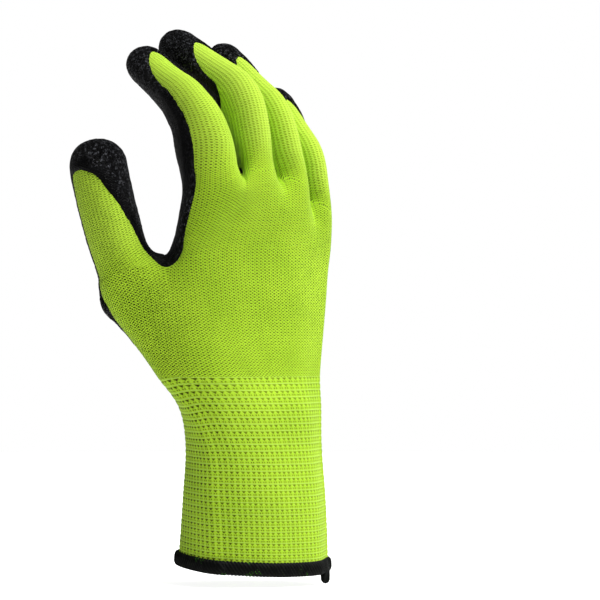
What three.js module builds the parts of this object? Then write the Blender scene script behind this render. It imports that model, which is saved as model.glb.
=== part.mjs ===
// A knitted work glove with a latex coat on its palm, standing in the form of the hand in it.
// Millimetres. X runs from the thumb side to the little finger, Y from the back of the hand
// to the palm, Z up the hand. The origin is the middle of the wrist opening.
import * as THREE from "three";

// Heights up the glove, from the foot of the hem.
const CUFF_LENGTH = 83;
const THUMB_WEB_HEIGHT = 138;
const FINGER_WEB_HEIGHT = 170;

// Width and depth of the wrist opening and of the palm at the finger webs.
const CUFF_WIDTH = 66;
const CUFF_DEPTH = 59;
const PALM_WIDTH = 78;
const PALM_DEPTH = 27.5;

// Each finger's length from its web to its tip, with its width and depth at the web.
const INDEX_LENGTH = 81.5;
const INDEX_WIDTH = 19.8;
const INDEX_DEPTH = 26.5;
const MIDDLE_LENGTH = 88.5;
const MIDDLE_WIDTH = 19.4;
const MIDDLE_DEPTH = 25.8;
const RING_LENGTH = 79;
const RING_WIDTH = 16.2;
const RING_DEPTH = 24;
const LITTLE_LENGTH = 61.5;
const LITTLE_WIDTH = 13.4;
const LITTLE_DEPTH = 19.6;
const THUMB_LENGTH = 59;
const THUMB_WIDTH = 23.8;
const THUMB_DEPTH = 24.4;

// Walls of the knit and of the latex, and the space left between two pieces.
const KNIT_WALL = 1.1;
const LATEX_WALL = 0.7;
const PIECE_GAP = 0.3;

// The overlocked hem: its height, its wall, and how much higher it sits on the palm side.
const HEM_HEIGHT = 5;
const HEM_WALL = 0.9;
const HEM_RISE = 6;

// The thread end that hangs from the hem, and the column of the skin that it hangs below.
const TAIL_LENGTH = 3.4;
const TAIL_WIDTH = 3;
const TAIL_COLUMN = 25;

// How far above its web a finger and the thumb reach their own section, and how far below
// the tip their rounded ends start. The end's power is a little fuller than a circle's.
const FINGER_WEB_RUN = 4.8;
const THUMB_WEB_RUN = 13.2;
const FINGER_END = 10.6;
const THUMB_END = 12;
const END_POWER = 2.3;

// Steps across one finger, on the back and again on the palm, and steps of a middle line.
const STEPS = 6;
const LINE_STEPS = 120;

function named(columns, rows) {
  const keys = columns.split(" ");
  return rows.map((row) => Object.fromEntries(row.map((value, i) => [keys[i], value])));
}

// Sections up the glove. Stage 0 to 1 runs up the cuff, to 2 at the thumb's web and to 3 at
// the finger webs. Places and depths are shares of the cuff's width and depth up to stage 1,
// and of the palm's above it. The arch lifts the knuckles towards the back.
const SECTIONS = named("stage thumbX thumbY indexX indexY littleX littleY arch back palm", [
  [0.00, -0.500, 0.016, -0.292, 0.000, 0.500, 0.000, 0.00, 0.500, 0.500],
  [0.35, -0.481, 0.033, -0.292, 0.000, 0.494, 0.000, 0.00, 0.459, 0.459],
  [0.65, -0.466, 0.066, -0.292, 0.016, 0.485, 0.000, 0.00, 0.403, 0.403],
  [0.84, -0.476, 0.188, -0.306, 0.082, 0.485, 0.000, 0.02, 0.385, 0.375],
  [1.00, -0.540, 0.352, -0.350, 0.156, 0.500, 0.016, 0.03, 0.352, 0.325],
  [1.19, -0.517, 0.923, -0.334, 0.421, 0.442, 0.070, 0.12, 0.684, 0.590],
  [1.37, -0.582, 1.032, -0.371, 0.491, 0.466, 0.105, 0.18, 0.614, 0.505],
  [1.67, -0.678, 1.190, -0.433, 0.561, 0.507, 0.175, 0.25, 0.561, 0.445],
  [2.00, -0.745, 1.193, -0.485, 0.509, 0.539, 0.211, 0.23, 0.544, 0.428],
  [2.52, -0.730, 1.053, -0.445, 0.281, 0.554, 0.193, 0.18, 0.526, 0.428],
  [3.00, -0.705, 0.702, -0.437, 0.105, 0.559, 0.140, 0.16, 0.509, 0.435],
]);

// How thick each finger's strip of the hand is, as shares of the section's back and palm.
const STRIPS = named("cuff back palm", [
  [0.62, 0.85, 0.93],
  [0.92, 1.00, 1.03],
  [1.00, 1.00, 1.00],
  [0.92, 0.94, 1.00],
  [0.62, 0.75, 0.92],
]);
const CUFF_STRIPS_END = 0.65;
const HAND_STRIPS_START = 1.6;

// The borders between the strips: where they lie from index to little finger, how far the
// web there stands above or below the finger webs' height, as a share of the palm above the
// thumb's web, and at which stage the groove to it starts on the back and on the palm.
const BORDERS = named("across rise backGroove palmGroove", [
  [0.000, -0.24, 1.56, 1.25],
  [0.280, 0.09, 2.76, 2.52],
  [0.578, 0.03, 2.52, 2.39],
  [0.804, -0.27, 2.27, 2.21],
  [1.000, -0.60, 3.00, 3.00],
]);
const THUMB_DROP = 0.19;
const RISE_START = 1.56;

// A finger's form along its length, as shares of its length, width and depth.
const FINGER_FORM = named("along width depth", [
  [0.00, 1.00, 1.00],
  [0.25, 0.98, 1.00],
  [0.43, 0.94, 0.87],
  [0.66, 0.88, 0.65],
  [1.00, 0.83, 0.58],
]);
const THUMB_FORM = named("along width depth", [
  [0.00, 0.98, 1.02],
  [0.30, 1.00, 1.02],
  [0.75, 1.00, 0.97],
  [1.00, 0.95, 0.92],
]);
const BACK_SHARE = 0.52;

// The thumb's middle line, as shares of its length from its root, and the root itself as
// shares of the palm's width and depth and of the thumb web's height.
const THUMB_LINE = named("along x y z", [
  [0.00, 0.000, 0.000, 0.000],
  [0.23, -0.067, 0.039, 0.212],
  [0.43, -0.109, 0.075, 0.409],
  [0.63, -0.132, 0.124, 0.605],
  [0.82, -0.138, 0.172, 0.792],
  [1.00, -0.135, 0.208, 0.962],
]);
const THUMB_ROOT = { x: -0.633, y: 0.9, z: 0.937 };

// The fingers from index to little: how far each leans to the palm at its web in degrees,
// its two bends (place and run as shares of the length, and the lean after them), and how
// far it leans to the thumb side at its web and at its tip.
const FINGERS = named("name length width depth lean bendA runA leanA bendB runB leanB sideRoot sideTip", [
  ["index", INDEX_LENGTH, INDEX_WIDTH, INDEX_DEPTH, 12, 0.32, 0.21, 44, 0.51, 0.17, 60, 1, 1],
  ["middle", MIDDLE_LENGTH, MIDDLE_WIDTH, MIDDLE_DEPTH, 10, 0.37, 0.22, 58, 0.64, 0.13, 62, 1, 7],
  ["ring", RING_LENGTH, RING_WIDTH, RING_DEPTH, 13, 0.41, 0.22, 48, 0.69, 0.15, 51, 3, 9],
  ["little", LITTLE_LENGTH, LITTLE_WIDTH, LITTLE_DEPTH, 6, 0.38, 0.22, 35, 0.67, 0.19, 40, 1, 7],
]);
const THUMB = { name: "thumb", length: THUMB_LENGTH, width: THUMB_WIDTH, depth: THUMB_DEPTH };

// Where the latex ends at the foot of the palm, from the thumb's edge to the little finger's.
const COAT_FOOT = named("across stage", [
  [-1.00, 1.63],
  [-0.75, 1.39],
  [-0.50, 1.21],
  [0.00, 1.04],
  [1.00, 0.95],
  [2.00, 0.90],
  [3.00, 0.87],
  [4.00, 0.88],
]);

// Rows along a finger and along the thumb, as shares of the length, and the span of steps on
// the back that the latex leaves bare at each. A row with none is coated all round. The hand
// and the finger part at a thin seam just past the last of the root rows.
const ROOT_ROWS = 2;
const FINGER_ROWS = named("along bareFrom bareTo", [
  [0.05, 0, 6],
  [0.17, 0, 6],
  [0.30, 1, 5],
  [0.43, 1, 5],
  [0.58, 1, 5],
  [0.72, 1, 5],
  [0.85, 2, 4],
  [0.92, 3, 3],
  [0.975, 6, 0],
]);
const THUMB_ROWS = named("along bareFrom bareTo", [
  [0.05, 0, 5],
  [0.14, 0, 5],
  [0.27, 0, 5],
  [0.40, 0, 4],
  [0.53, 0, 4],
  [0.66, 0, 3],
  [0.79, 2, 2],
  [0.90, 6, 0],
  [0.97, 6, 0],
]);
const OUTER_BARE_FROM = 1;

// How the fingers and the thumb grow, and the piece of the hand that each has its root in.
const FINGER_GROWTH = {
  rows: FINGER_ROWS,
  form: FINGER_FORM,
  end: FINGER_END,
  webRun: FINGER_WEB_RUN,
  levelSide: true,
  root: "knuckles",
};
const THUMB_GROWTH = {
  rows: THUMB_ROWS,
  form: THUMB_FORM,
  end: THUMB_END,
  webRun: THUMB_WEB_RUN,
  levelSide: false,
  root: "palm",
};

// Stages of the rows up the wrist, up the hand to the thumb's web, and on to the fingers. The
// palm's piece and the knuckles' part at a thin seam just past the first of the last ones.
const WRIST_ROWS = [0.22, 0.43, 0.65, 0.85];
const LOWER_ROWS = [1.13, 1.26, 1.4, 1.54, 1.69, 1.85];
const UPPER_ROWS = [2.12, 2.35, 2.6, 2.8];

// Colours of the lime knit, the black latex and the black hem thread.
const LIME = 0xa4d82c;
const LATEX_BLACK = 0x141416;
const THREAD_BLACK = 0x191a19;

const STAGE_HEIGHTS = [0, CUFF_LENGTH, THUMB_WEB_HEIGHT, FINGER_WEB_HEIGHT];
const WEB_SPAN = FINGER_WEB_HEIGHT - THUMB_WEB_HEIGHT;

// The height of the knit's foot, which stands in the fold of the hem.
const HEM_FLOOR = HEM_WALL + PIECE_GAP;

function clamp(value) {
  return Math.min(1, Math.max(0, value));
}

function smooth(value) {
  const t = clamp(value);
  return t * t * (3 - 2 * t);
}

// A quarter of a circle's rise, steep at 0 and level at 1.
function quarter(value) {
  return Math.sqrt(1 - (1 - clamp(value)) ** 2);
}

function heightOf(stage) {
  const k = Math.min(2, Math.floor(stage));
  return STAGE_HEIGHTS[k] + (stage - k) * (STAGE_HEIGHTS[k + 1] - STAGE_HEIGHTS[k]);
}

// A smooth curve through the points (xs, ys), read at one place.
function curve(xs, ys, at) {
  const last = xs.length - 1;
  const x = Math.min(xs[last], Math.max(xs[0], at));
  let i = 0;
  while (i < last - 1 && x > xs[i + 1]) i += 1;
  const rise = (k) => (ys[k + 1] - ys[k]) / (xs[k + 1] - xs[k]);
  const slope = (k) => {
    if (k === 0) return rise(0);
    if (k === last) return rise(last - 1);
    const before = xs[k] - xs[k - 1];
    const after = xs[k + 1] - xs[k];
    return (rise(k - 1) * after + rise(k) * before) / (before + after);
  };
  const w = xs[i + 1] - xs[i];
  const t = (x - xs[i]) / w;
  const s = 1 - t;
  return (1 + 2 * t) * s * s * ys[i] + t * s * s * w * slope(i)
    + t * t * (3 - 2 * t) * ys[i + 1] - t * t * s * w * slope(i + 1);
}

function readTable(table, key, column, at) {
  return curve(table.map((row) => row[key]), table.map((row) => row[column]), at);
}

// The section tables in millimetres, ready to be read at any height.
const SECTION_SIZES = SECTIONS.map((row) => {
  const width = row.stage > 1 ? PALM_WIDTH : CUFF_WIDTH;
  const depth = row.stage > 1 ? PALM_DEPTH : CUFF_DEPTH;
  return {
    height: heightOf(row.stage),
    thumbX: row.thumbX * width,
    thumbY: row.thumbY * depth,
    indexX: row.indexX * width,
    indexY: row.indexY * depth,
    littleX: row.littleX * width,
    littleY: row.littleY * depth,
    arch: row.arch * depth,
    back: row.back * depth,
    palm: row.palm * depth,
  };
});

function sectionAt(height) {
  const section = {};
  for (const key of Object.keys(SECTION_SIZES[0])) {
    section[key] = readTable(SECTION_SIZES, "height", key, height);
  }
  return section;
}

// The hand's middle line at one height, with its direction. It passes the thumb's edge at
// -1, the index finger's at 0 and the little finger's at 4.
function middleLine(section, across) {
  const points = [[section.thumbX, section.thumbY]];
  for (const border of BORDERS) {
    const f = border.across;
    points.push([
      section.indexX + (section.littleX - section.indexX) * f,
      section.indexY + (section.littleY - section.indexY) * f - section.arch * Math.sin(Math.PI * f),
    ]);
  }
  const k = Math.min(points.length - 2, Math.max(0, Math.floor(across + 1)));
  const t = across + 1 - k;
  const end = (a, b) => [2 * a[0] - b[0], 2 * a[1] - b[1]];
  const before = k > 0 ? points[k - 1] : end(points[0], points[1]);
  const after = k + 2 < points.length ? points[k + 2] : end(points[k + 1], points[k]);
  const blend = (i) => {
    const [a, b, c, d] = [before[i], points[k][i], points[k + 1][i], after[i]];
    const place = b + 0.5 * t * (c - a + t * (2 * a - 5 * b + 4 * c - d + t * (3 * (b - c) + d - a)));
    const pace = 0.5 * (c - a + t * (4 * a - 10 * b + 8 * c - 2 * d + t * (9 * (b - c) + 3 * (d - a))));
    return [place, pace];
  };
  const [x, dx] = blend(0);
  const [y, dy] = blend(1);
  const length = Math.hypot(dx, dy);
  return { x, y, dx: dx / length, dy: dy / length };
}

// How deep the hand is at one place across, before its grooves.
function stripDepth(section, side, height, across) {
  const start = heightOf(CUFF_STRIPS_END);
  const hand = smooth((height - start) / (heightOf(HAND_STRIPS_START) - start));
  const shares = STRIPS.map((strip) => strip.cuff + (strip[side] - strip.cuff) * hand);
  const middles = [-0.5, 0.5, 1.5, 2.5, 3.5];
  return section[side] * curve(middles, shares, across);
}

// What a groove or an outer edge leaves of the depth. It is nothing at a web, where the back
// meets the palm, and follows a quarter of an ellipse to it.
function grooveShare(side, height, cell, x) {
  const border = x < 0 ? cell : cell + 1;
  let depth = 1;
  if (border > -1 && border < 4) {
    const web = border === 0 ? THUMB_WEB_HEIGHT : FINGER_WEB_HEIGHT;
    const start = heightOf(BORDERS[border][`${side}Groove`]);
    depth = clamp((height - start) / (web - start)) ** 2;
  }
  const valley = (1 - depth) * Math.sin((Math.PI * x) / 2) ** 2 + depth * x * x;
  return Math.sqrt(Math.max(0, 1 - depth * valley));
}

// A point of the hand's skin, on the back or on the palm, at one height of its rows.
function handPoint(side, height, cell, step) {
  const x = -Math.cos((Math.PI * step) / STEPS);
  const across = cell + (x + 1) / 2;
  const section = sectionAt(height);
  const line = middleLine(section, across);
  const out = stripDepth(section, side, height, across) * grooveShare(side, height, cell, x);
  const away = side === "back" ? out : -out;
  const px = line.x + line.dy * away;
  const py = line.y - line.dx * away;
  const start = heightOf(RISE_START);
  const rise = curve([0, 1, 2, 3, 4], BORDERS.map((border) => border.rise), across) * WEB_SPAN;
  const lift = smooth((height - start) / (FINGER_WEB_HEIGHT - start)) * rise;
  const drop = Math.max(0, -across) * THUMB_DROP * (THUMB_WEB_HEIGHT - CUFF_LENGTH)
    * smooth((height - CUFF_LENGTH) / (THUMB_WEB_HEIGHT - CUFF_LENGTH));
  const tilt = (HEM_RISE * py * clamp(1 - height / CUFF_LENGTH)) / CUFF_DEPTH;
  return new THREE.Vector3(px, py, height + lift - drop + tilt);
}

// The skin: points welded by place, and faces that know where they lie. A face is bare where
// all three of its points may be bare, and coated elsewhere.
const skin = { points: [], bare: [], faces: [], places: new Map() };

function skinPoint(place, bare) {
  const key = [place.x, place.y, place.z].map((value) => Math.round(value * 1000)).join(" ");
  if (!skin.places.has(key)) {
    skin.places.set(key, skin.points.length);
    skin.points.push(place);
    skin.bare.push(bare);
  }
  return skin.places.get(key);
}

function skinFace(zone, a, b, c) {
  if (a !== b && b !== c && c !== a) {
    skin.faces.push({ zone, corners: [a, b, c], bare: [a, b, c].every((i) => skin.bare[i]) });
  }
}

// The quads between two rings of points, cut from corner to corner so that the edge of the
// latex can run slantwise on either side of a finger.
function skinBand(zone, lower, upper) {
  const count = lower.length;
  for (let i = 0; i < count; i += 1) {
    const j = (i + 1) % count;
    if (lower[i].turned) {
      skinFace(zone, lower[i].id, lower[j].id, upper[i].id);
      skinFace(zone, lower[j].id, upper[j].id, upper[i].id);
    } else {
      skinFace(zone, lower[i].id, lower[j].id, upper[j].id);
      skinFace(zone, lower[i].id, upper[j].id, upper[i].id);
    }
  }
}

// The height at which the latex starts on the palm, at one place across.
function coatFoot(across) {
  return heightOf(readTable(COAT_FOOT, "across", "stage", across));
}

// A ring of the hand from one cell to the last: along the back, then back along the palm. The
// latex's foot runs slantwise, so the nearest row of each column is moved onto it.
function handRing(height, firstCell, nextHeight, lastHeight) {
  const ring = [];
  for (let cell = firstCell; cell < 4; cell += 1) {
    for (let step = 0; step < STEPS; step += 1) {
      const web = step === 0 && cell === 0 && height >= THUMB_WEB_HEIGHT;
      const band = height > THUMB_WEB_HEIGHT && cell === 0 && step < OUTER_BARE_FROM;
      const place = handPoint("back", height, cell, step);
      ring.push({ id: skinPoint(place, !web && !band), turned: step >= STEPS / 2 });
    }
  }
  ring.push({ id: skinPoint(handPoint("back", height, 3, STEPS), true), turned: false });
  for (let cell = 3; cell >= firstCell; cell -= 1) {
    for (let step = STEPS - (cell === 3 ? 1 : 0); step > 0; step -= 1) {
      const across = cell + (1 - Math.cos((Math.PI * step) / STEPS)) / 2;
      const foot = coatFoot(across);
      const onFoot = foot > (height + lastHeight) / 2 && foot <= (height + nextHeight) / 2;
      const place = handPoint("palm", onFoot ? foot : height, cell, step);
      ring.push({ id: skinPoint(place, height <= foot || onFoot), turned: false });
    }
  }
  return ring;
}

// The part of a ring that one finger stands on, closed into a ring of its own.
function fingerBase(ring, cell, firstCell) {
  const from = (cell - firstCell) * STEPS;
  const back = ring.slice(from, from + STEPS + 1);
  const start = (4 - firstCell) * STEPS + (3 - cell) * STEPS;
  const palm = ring.slice(start + 1, start + STEPS);
  return [...back, ...palm].map((point, i) => ({
    id: point.id,
    turned: i >= STEPS / 2 && i < STEPS,
  }));
}

// A finger's middle line: steps of equal length that turn to the palm at its two bends.
function fingerLine(finger, root) {
  const step = finger.length / LINE_STEPS;
  const line = [];
  const place = root.clone();
  for (let i = 0; i <= LINE_STEPS; i += 1) {
    const along = i / LINE_STEPS;
    const first = smooth((along - finger.bendA) / finger.runA + 0.5) * (finger.leanA - finger.lean);
    const second = smooth((along - finger.bendB) / finger.runB + 0.5) * (finger.leanB - finger.leanA);
    const lean = THREE.MathUtils.degToRad(finger.lean + first + second);
    const side = -THREE.MathUtils.degToRad(finger.sideRoot + (finger.sideTip - finger.sideRoot) * along);
    const way = new THREE.Vector3(
      Math.sin(side),
      Math.sin(lean) * Math.cos(side),
      Math.cos(lean) * Math.cos(side),
    );
    line.push({ along, place: place.clone(), way });
    place.addScaledVector(way, step);
  }
  return line;
}

// The thumb's middle line, a smooth curve through its table.
function thumbLine() {
  const root = new THREE.Vector3(
    THUMB_ROOT.x * PALM_WIDTH,
    THUMB_ROOT.y * PALM_DEPTH,
    THUMB_ROOT.z * THUMB_WEB_HEIGHT,
  );
  const at = (along) => new THREE.Vector3(
    readTable(THUMB_LINE, "along", "x", along),
    readTable(THUMB_LINE, "along", "y", along),
    readTable(THUMB_LINE, "along", "z", along),
  ).multiplyScalar(THUMB_LENGTH).add(root);
  const step = 1 / LINE_STEPS;
  const line = [];
  for (let i = 0; i <= LINE_STEPS; i += 1) {
    const along = i * step;
    const way = at(Math.min(1, along + step)).sub(at(Math.max(0, along - step))).normalize();
    line.push({ along, place: at(along), way });
  }
  return line;
}

// A place on a middle line and the line's direction there.
function onLine(line, along) {
  const k = Math.min(line.length - 2, Math.floor(along * (line.length - 1)));
  const t = along * (line.length - 1) - k;
  return {
    place: line[k].place.clone().lerp(line[k + 1].place, t),
    way: line[k].way.clone().lerp(line[k + 1].way, t).normalize(),
  };
}

// Rings of points from a finger's base to its tip. Near the base each ring still has the
// hand's own section, which turns into the finger's as a rounded web.
function growFinger(finger, base, line, growth) {
  const { rows, form, end, webRun, levelSide, root } = growth;
  const basePlaces = base.map((point) => skin.points[point.id].clone());
  const across = basePlaces[STEPS].clone().sub(basePlaces[0]).normalize();
  const rooted = rows.slice(0, ROOT_ROWS);
  const lastRoot = rooted[ROOT_ROWS - 1];
  const seam = { ...lastRoot, along: lastRoot.along + PIECE_GAP / finger.length };
  let ring = base;
  for (const row of [...rooted, seam, ...rows.slice(ROOT_ROWS)]) {
    const run = row.along * finger.length;
    const { place, way } = onLine(line, row.along);
    const turn = levelSide ? smooth(run / finger.width) : 0;
    const side = across.clone().lerp(new THREE.Vector3(1, 0, 0), turn);
    side.addScaledVector(way, -side.dot(way)).normalize();
    const out = side.clone().cross(way);
    const left = clamp((finger.length - run) / end);
    const close = (1 - (1 - left) ** END_POWER) ** (1 / END_POWER);
    const width = 0.5 * finger.width * readTable(form, "along", "width", row.along) * close;
    const depth = finger.depth * readTable(form, "along", "depth", row.along) * close;
    const own = quarter(run / webRun);
    const moved = place.clone().sub(line[0].place);
    const next = base.map((point, i) => {
      const angle = (Math.PI * i) / STEPS;
      const high = Math.sin(angle) * depth * (i <= STEPS ? BACK_SHARE : 1 - BACK_SHARE);
      const target = place.clone()
        .addScaledVector(side, -Math.cos(angle) * width)
        .addScaledVector(out, high);
      const grown = basePlaces[i].clone().add(moved).lerp(target, own);
      const bare = i >= row.bareFrom && i <= row.bareTo;
      return { id: skinPoint(grown, bare), turned: point.turned };
    });
    const above = row === seam ? "seam" : finger.name;
    skinBand(rooted.includes(row) ? root : above, ring, next);
    ring = next;
  }
  const tip = skinPoint(onLine(line, 1).place, false);
  ring.forEach((point, i) => skinFace(finger.name, point.id, ring[(i + 1) % ring.length].id, tip));
}

// The skin's outward direction at each point, each face counted by its angle there.
function skinNormals() {
  const normals = skin.points.map(() => new THREE.Vector3());
  for (const { corners } of skin.faces) {
    const places = corners.map((i) => skin.points[i]);
    for (let i = 0; i < 3; i += 1) {
      const a = places[(i + 1) % 3].clone().sub(places[i]);
      const b = places[(i + 2) % 3].clone().sub(places[i]);
      normals[corners[i]].addScaledVector(a.clone().cross(b).normalize(), a.angleTo(b));
    }
  }
  return normals.map((normal) => normal.normalize());
}

// A closed wall over the chosen faces, between two distances from the skin.
function wallOver(faces, normals, inner, outer) {
  const ids = new Map();
  const positions = [];
  const triangles = [];
  for (const { corners } of faces) {
    for (const i of corners) {
      if (!ids.has(i)) {
        ids.set(i, ids.size * 2);
        for (const offset of [inner, outer]) {
          positions.push(...skin.points[i].clone().addScaledVector(normals[i], offset).toArray());
        }
      }
    }
  }
  const edges = new Set();
  for (const { corners } of faces) {
    const [a, b, c] = corners.map((i) => ids.get(i));
    triangles.push(a, c, b, a + 1, b + 1, c + 1);
    for (const [from, to] of [[a, b], [b, c], [c, a]]) edges.add(`${from} ${to}`);
  }
  for (const edge of edges) {
    const [from, to] = edge.split(" ").map(Number);
    if (!edges.has(`${to} ${from}`)) {
      triangles.push(to + 1, from + 1, from, to + 1, from, to);
    }
  }
  return geometryFrom(positions, triangles);
}

function geometryFrom(positions, triangles) {
  const geometry = new THREE.BufferGeometry();
  geometry.setAttribute("position", new THREE.Float32BufferAttribute(positions, 3));
  geometry.setIndex(triangles);
  geometry.computeVertexNormals();
  return geometry;
}

// Closed rings of section points joined in a loop, or in a row with both ends closed.
function sweep(sections, loop) {
  const count = sections[0].length;
  const positions = sections.flat().flatMap((place) => place.toArray());
  const triangles = [];
  const last = loop ? sections.length : sections.length - 1;
  for (let k = 0; k < last; k += 1) {
    const here = k * count;
    const there = ((k + 1) % sections.length) * count;
    for (let i = 0; i < count; i += 1) {
      const j = (i + 1) % count;
      triangles.push(here + i, there + j, here + j, here + i, there + i, there + j);
    }
  }
  if (!loop) {
    const top = (sections.length - 1) * count;
    for (let i = 1; i < count - 1; i += 1) {
      triangles.push(0, i, i + 1, top, top + i + 1, top + i);
    }
  }
  return geometryFrom(positions, triangles);
}

// The whole skin, row by row. The wrist and the palm part at a thin seam.
const wristRows = [HEM_FLOOR, HEM_HEIGHT, ...WRIST_ROWS.map(heightOf), CUFF_LENGTH - PIECE_GAP / 2];
const lowerRows = [CUFF_LENGTH + PIECE_GAP / 2, ...LOWER_ROWS.map(heightOf), THUMB_WEB_HEIGHT];
const fullRows = [...wristRows, ...lowerRows];
const fullRings = fullRows.map((height, i) => handRing(
  height,
  -1,
  fullRows[i + 1] ?? height,
  fullRows[i - 1] ?? height,
));
fullRings.slice(1).forEach((ring, i) => {
  const seam = i + 1 === wristRows.length;
  const zone = i + 1 < wristRows.length ? "wrist" : "palm";
  skinBand(seam ? "seam" : zone, fullRings[i], ring);
});

// Above the thumb's web the hand's ring is the lower one without the thumb's own points.
const webRing = fullRings[fullRings.length - 1];
const backSteps = 4 * STEPS;
let upperRing = webRing.slice(STEPS, webRing.length - STEPS).map((point, i) => ({
  id: point.id,
  turned: i < backSteps && i % STEPS >= STEPS / 2,
}));
const [palmTop, ...knuckleRows] = UPPER_ROWS.map(heightOf);
for (const height of [palmTop, palmTop + PIECE_GAP, ...knuckleRows, FINGER_WEB_HEIGHT]) {
  const ring = handRing(height, 0, height, height);
  const above = height === palmTop + PIECE_GAP ? "seam" : "knuckles";
  skinBand(height === palmTop ? "palm" : above, upperRing, ring);
  upperRing = ring;
}

// The fingers stand on the last ring and the thumb on the ring at its web.
FINGERS.forEach((finger, cell) => {
  const base = fingerBase(upperRing, cell, 0);
  const root = skin.points[base[0].id].clone().add(skin.points[base[STEPS].id]).multiplyScalar(0.5);
  const rows = FINGER_ROWS.map((row) => {
    const outer = cell === 0 ? Math.max(row.bareFrom, OUTER_BARE_FROM) : row.bareFrom;
    return { ...row, bareFrom: outer };
  });
  growFinger(finger, base, fingerLine(finger, root), { ...FINGER_GROWTH, rows });
});
growFinger(THUMB, fingerBase(webRing, -1, -1), thumbLine(), THUMB_GROWTH);

const normals = skinNormals();

// The hem's section round the knit's foot, from rings at its floor and at its top.
function hemSection(i) {
  const foot = skin.points[fullRings[0][i].id];
  const top = skin.points[fullRings[1][i].id];
  const footOut = normals[fullRings[0][i].id].clone().setZ(0).normalize();
  const topOut = normals[fullRings[1][i].id];
  const inside = -KNIT_WALL - PIECE_GAP;
  const upper = (out) => top.clone().addScaledVector(topOut, out);
  const lower = (out, down) => foot.clone()
    .addScaledVector(footOut, out)
    .add(new THREE.Vector3(0, 0, -down));
  const belly = (out) => foot.clone().lerp(top, 0.4).addScaledVector(topOut, out);
  return [
    upper(PIECE_GAP),
    lower(PIECE_GAP, PIECE_GAP),
    lower(inside, PIECE_GAP),
    upper(inside),
    upper(inside - HEM_WALL),
    lower(inside - 0.3 * HEM_WALL, PIECE_GAP + 0.6 * HEM_WALL),
    lower(-KNIT_WALL / 2, HEM_FLOOR),
    lower(PIECE_GAP + 0.3 * HEM_WALL, PIECE_GAP + 0.6 * HEM_WALL),
    belly(PIECE_GAP + 1.3 * HEM_WALL),
    upper(PIECE_GAP + HEM_WALL),
  ];
}

// The thread end hangs from the hem's foot on the little finger's side of the back.
function tailSections() {
  const sides = 6;
  const { id } = fullRings[0][TAIL_COLUMN];
  const foot = skin.points[id];
  const out = normals[id].clone().setZ(0).normalize();
  const along = new THREE.Vector3(-out.y, out.x, 0);
  const start = foot.clone().add(new THREE.Vector3(0, 0, -HEM_FLOOR - PIECE_GAP));
  return [0, 0.5, 1].map((share) => {
    const middle = start.clone()
      .addScaledVector(out, share * share * TAIL_WIDTH * 0.3)
      .add(new THREE.Vector3(0, 0, -share * TAIL_LENGTH));
    return Array.from({ length: sides }, (_, i) => {
      const angle = (-2 * Math.PI * i) / sides;
      const size = 0.5 * TAIL_WIDTH * (1 - 0.2 * share);
      return middle.clone()
        .addScaledVector(along, Math.cos(angle) * size)
        .addScaledVector(out, Math.sin(angle) * size * 0.6);
    });
  });
}

function addPiece(group, name, geometry, color, roughness) {
  const material = new THREE.MeshStandardMaterial({ color, roughness, metalness: 0 });
  const mesh = new THREE.Mesh(geometry, material);
  mesh.name = name;
  group.add(mesh);
}

const glove = new THREE.Group();
const coatedFaces = skin.faces.filter((face) => !face.bare);
for (const zone of ["wrist", "palm", "knuckles", ...FINGERS.map(({ name }) => name), THUMB.name]) {
  const faces = skin.faces.filter((face) => face.zone === zone);
  addPiece(glove, `knit_${zone}`, wallOver(faces, normals, -KNIT_WALL, 0), LIME, 0.85);
}
addPiece(
  glove,
  "latex_coating",
  wallOver(coatedFaces, normals, PIECE_GAP, PIECE_GAP + LATEX_WALL),
  LATEX_BLACK,
  0.45,
);
addPiece(glove, "hem_binding", sweep(fullRings[0].map((_, i) => hemSection(i)), true), THREAD_BLACK, 0.8);
addPiece(glove, "hem_tail", sweep(tailSections(), false), THREAD_BLACK, 0.8);

export default glove;
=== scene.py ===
"""A knitted work glove with a crinkled latex palm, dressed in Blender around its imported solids.

The frame is the solids' own, in metres: X runs from the thumb side to the little finger, Y from
the back of the hand to the palm, and Z up the hand from the middle of the wrist opening. Shapes
are worked out in millimetres, as whole numpy arrays, and scaled when they become meshes.
"""

from __future__ import annotations

import logging
import math
from dataclasses import dataclass, field
from enum import Enum

import bpy
import numpy as np
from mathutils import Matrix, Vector


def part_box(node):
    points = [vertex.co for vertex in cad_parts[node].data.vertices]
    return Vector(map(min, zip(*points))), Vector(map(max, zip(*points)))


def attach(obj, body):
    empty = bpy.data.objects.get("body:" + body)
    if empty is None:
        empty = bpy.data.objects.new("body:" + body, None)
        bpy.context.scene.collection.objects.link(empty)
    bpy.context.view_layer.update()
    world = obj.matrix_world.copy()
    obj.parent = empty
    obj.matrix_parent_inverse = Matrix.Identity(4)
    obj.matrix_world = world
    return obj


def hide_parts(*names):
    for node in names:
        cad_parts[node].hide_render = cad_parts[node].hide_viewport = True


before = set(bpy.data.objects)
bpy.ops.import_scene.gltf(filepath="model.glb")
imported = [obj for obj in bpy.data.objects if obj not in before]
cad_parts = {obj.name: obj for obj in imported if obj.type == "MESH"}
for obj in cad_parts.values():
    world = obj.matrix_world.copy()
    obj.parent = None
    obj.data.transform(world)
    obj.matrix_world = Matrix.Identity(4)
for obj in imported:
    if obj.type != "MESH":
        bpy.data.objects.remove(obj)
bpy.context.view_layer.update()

LOG = logging.getLogger("glove")
MM = 0.001
Array = np.ndarray
Colour = tuple[float, float, float, float]

# unit directions of the view on the back: to the right, and away from the eye
ASIDE = np.array([0.8, -0.6, 0.0])
DEEP = np.array([0.6, 0.8, 0.0])


class Side(Enum):
    """The two halves of the hand's ring."""

    BACK = "back"
    PALM = "palm"


class Slot(Enum):
    """The record's material slots."""

    KNIT = "lime_knit"
    LATEX = "black_latex"
    THREAD = "black_thread"


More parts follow.
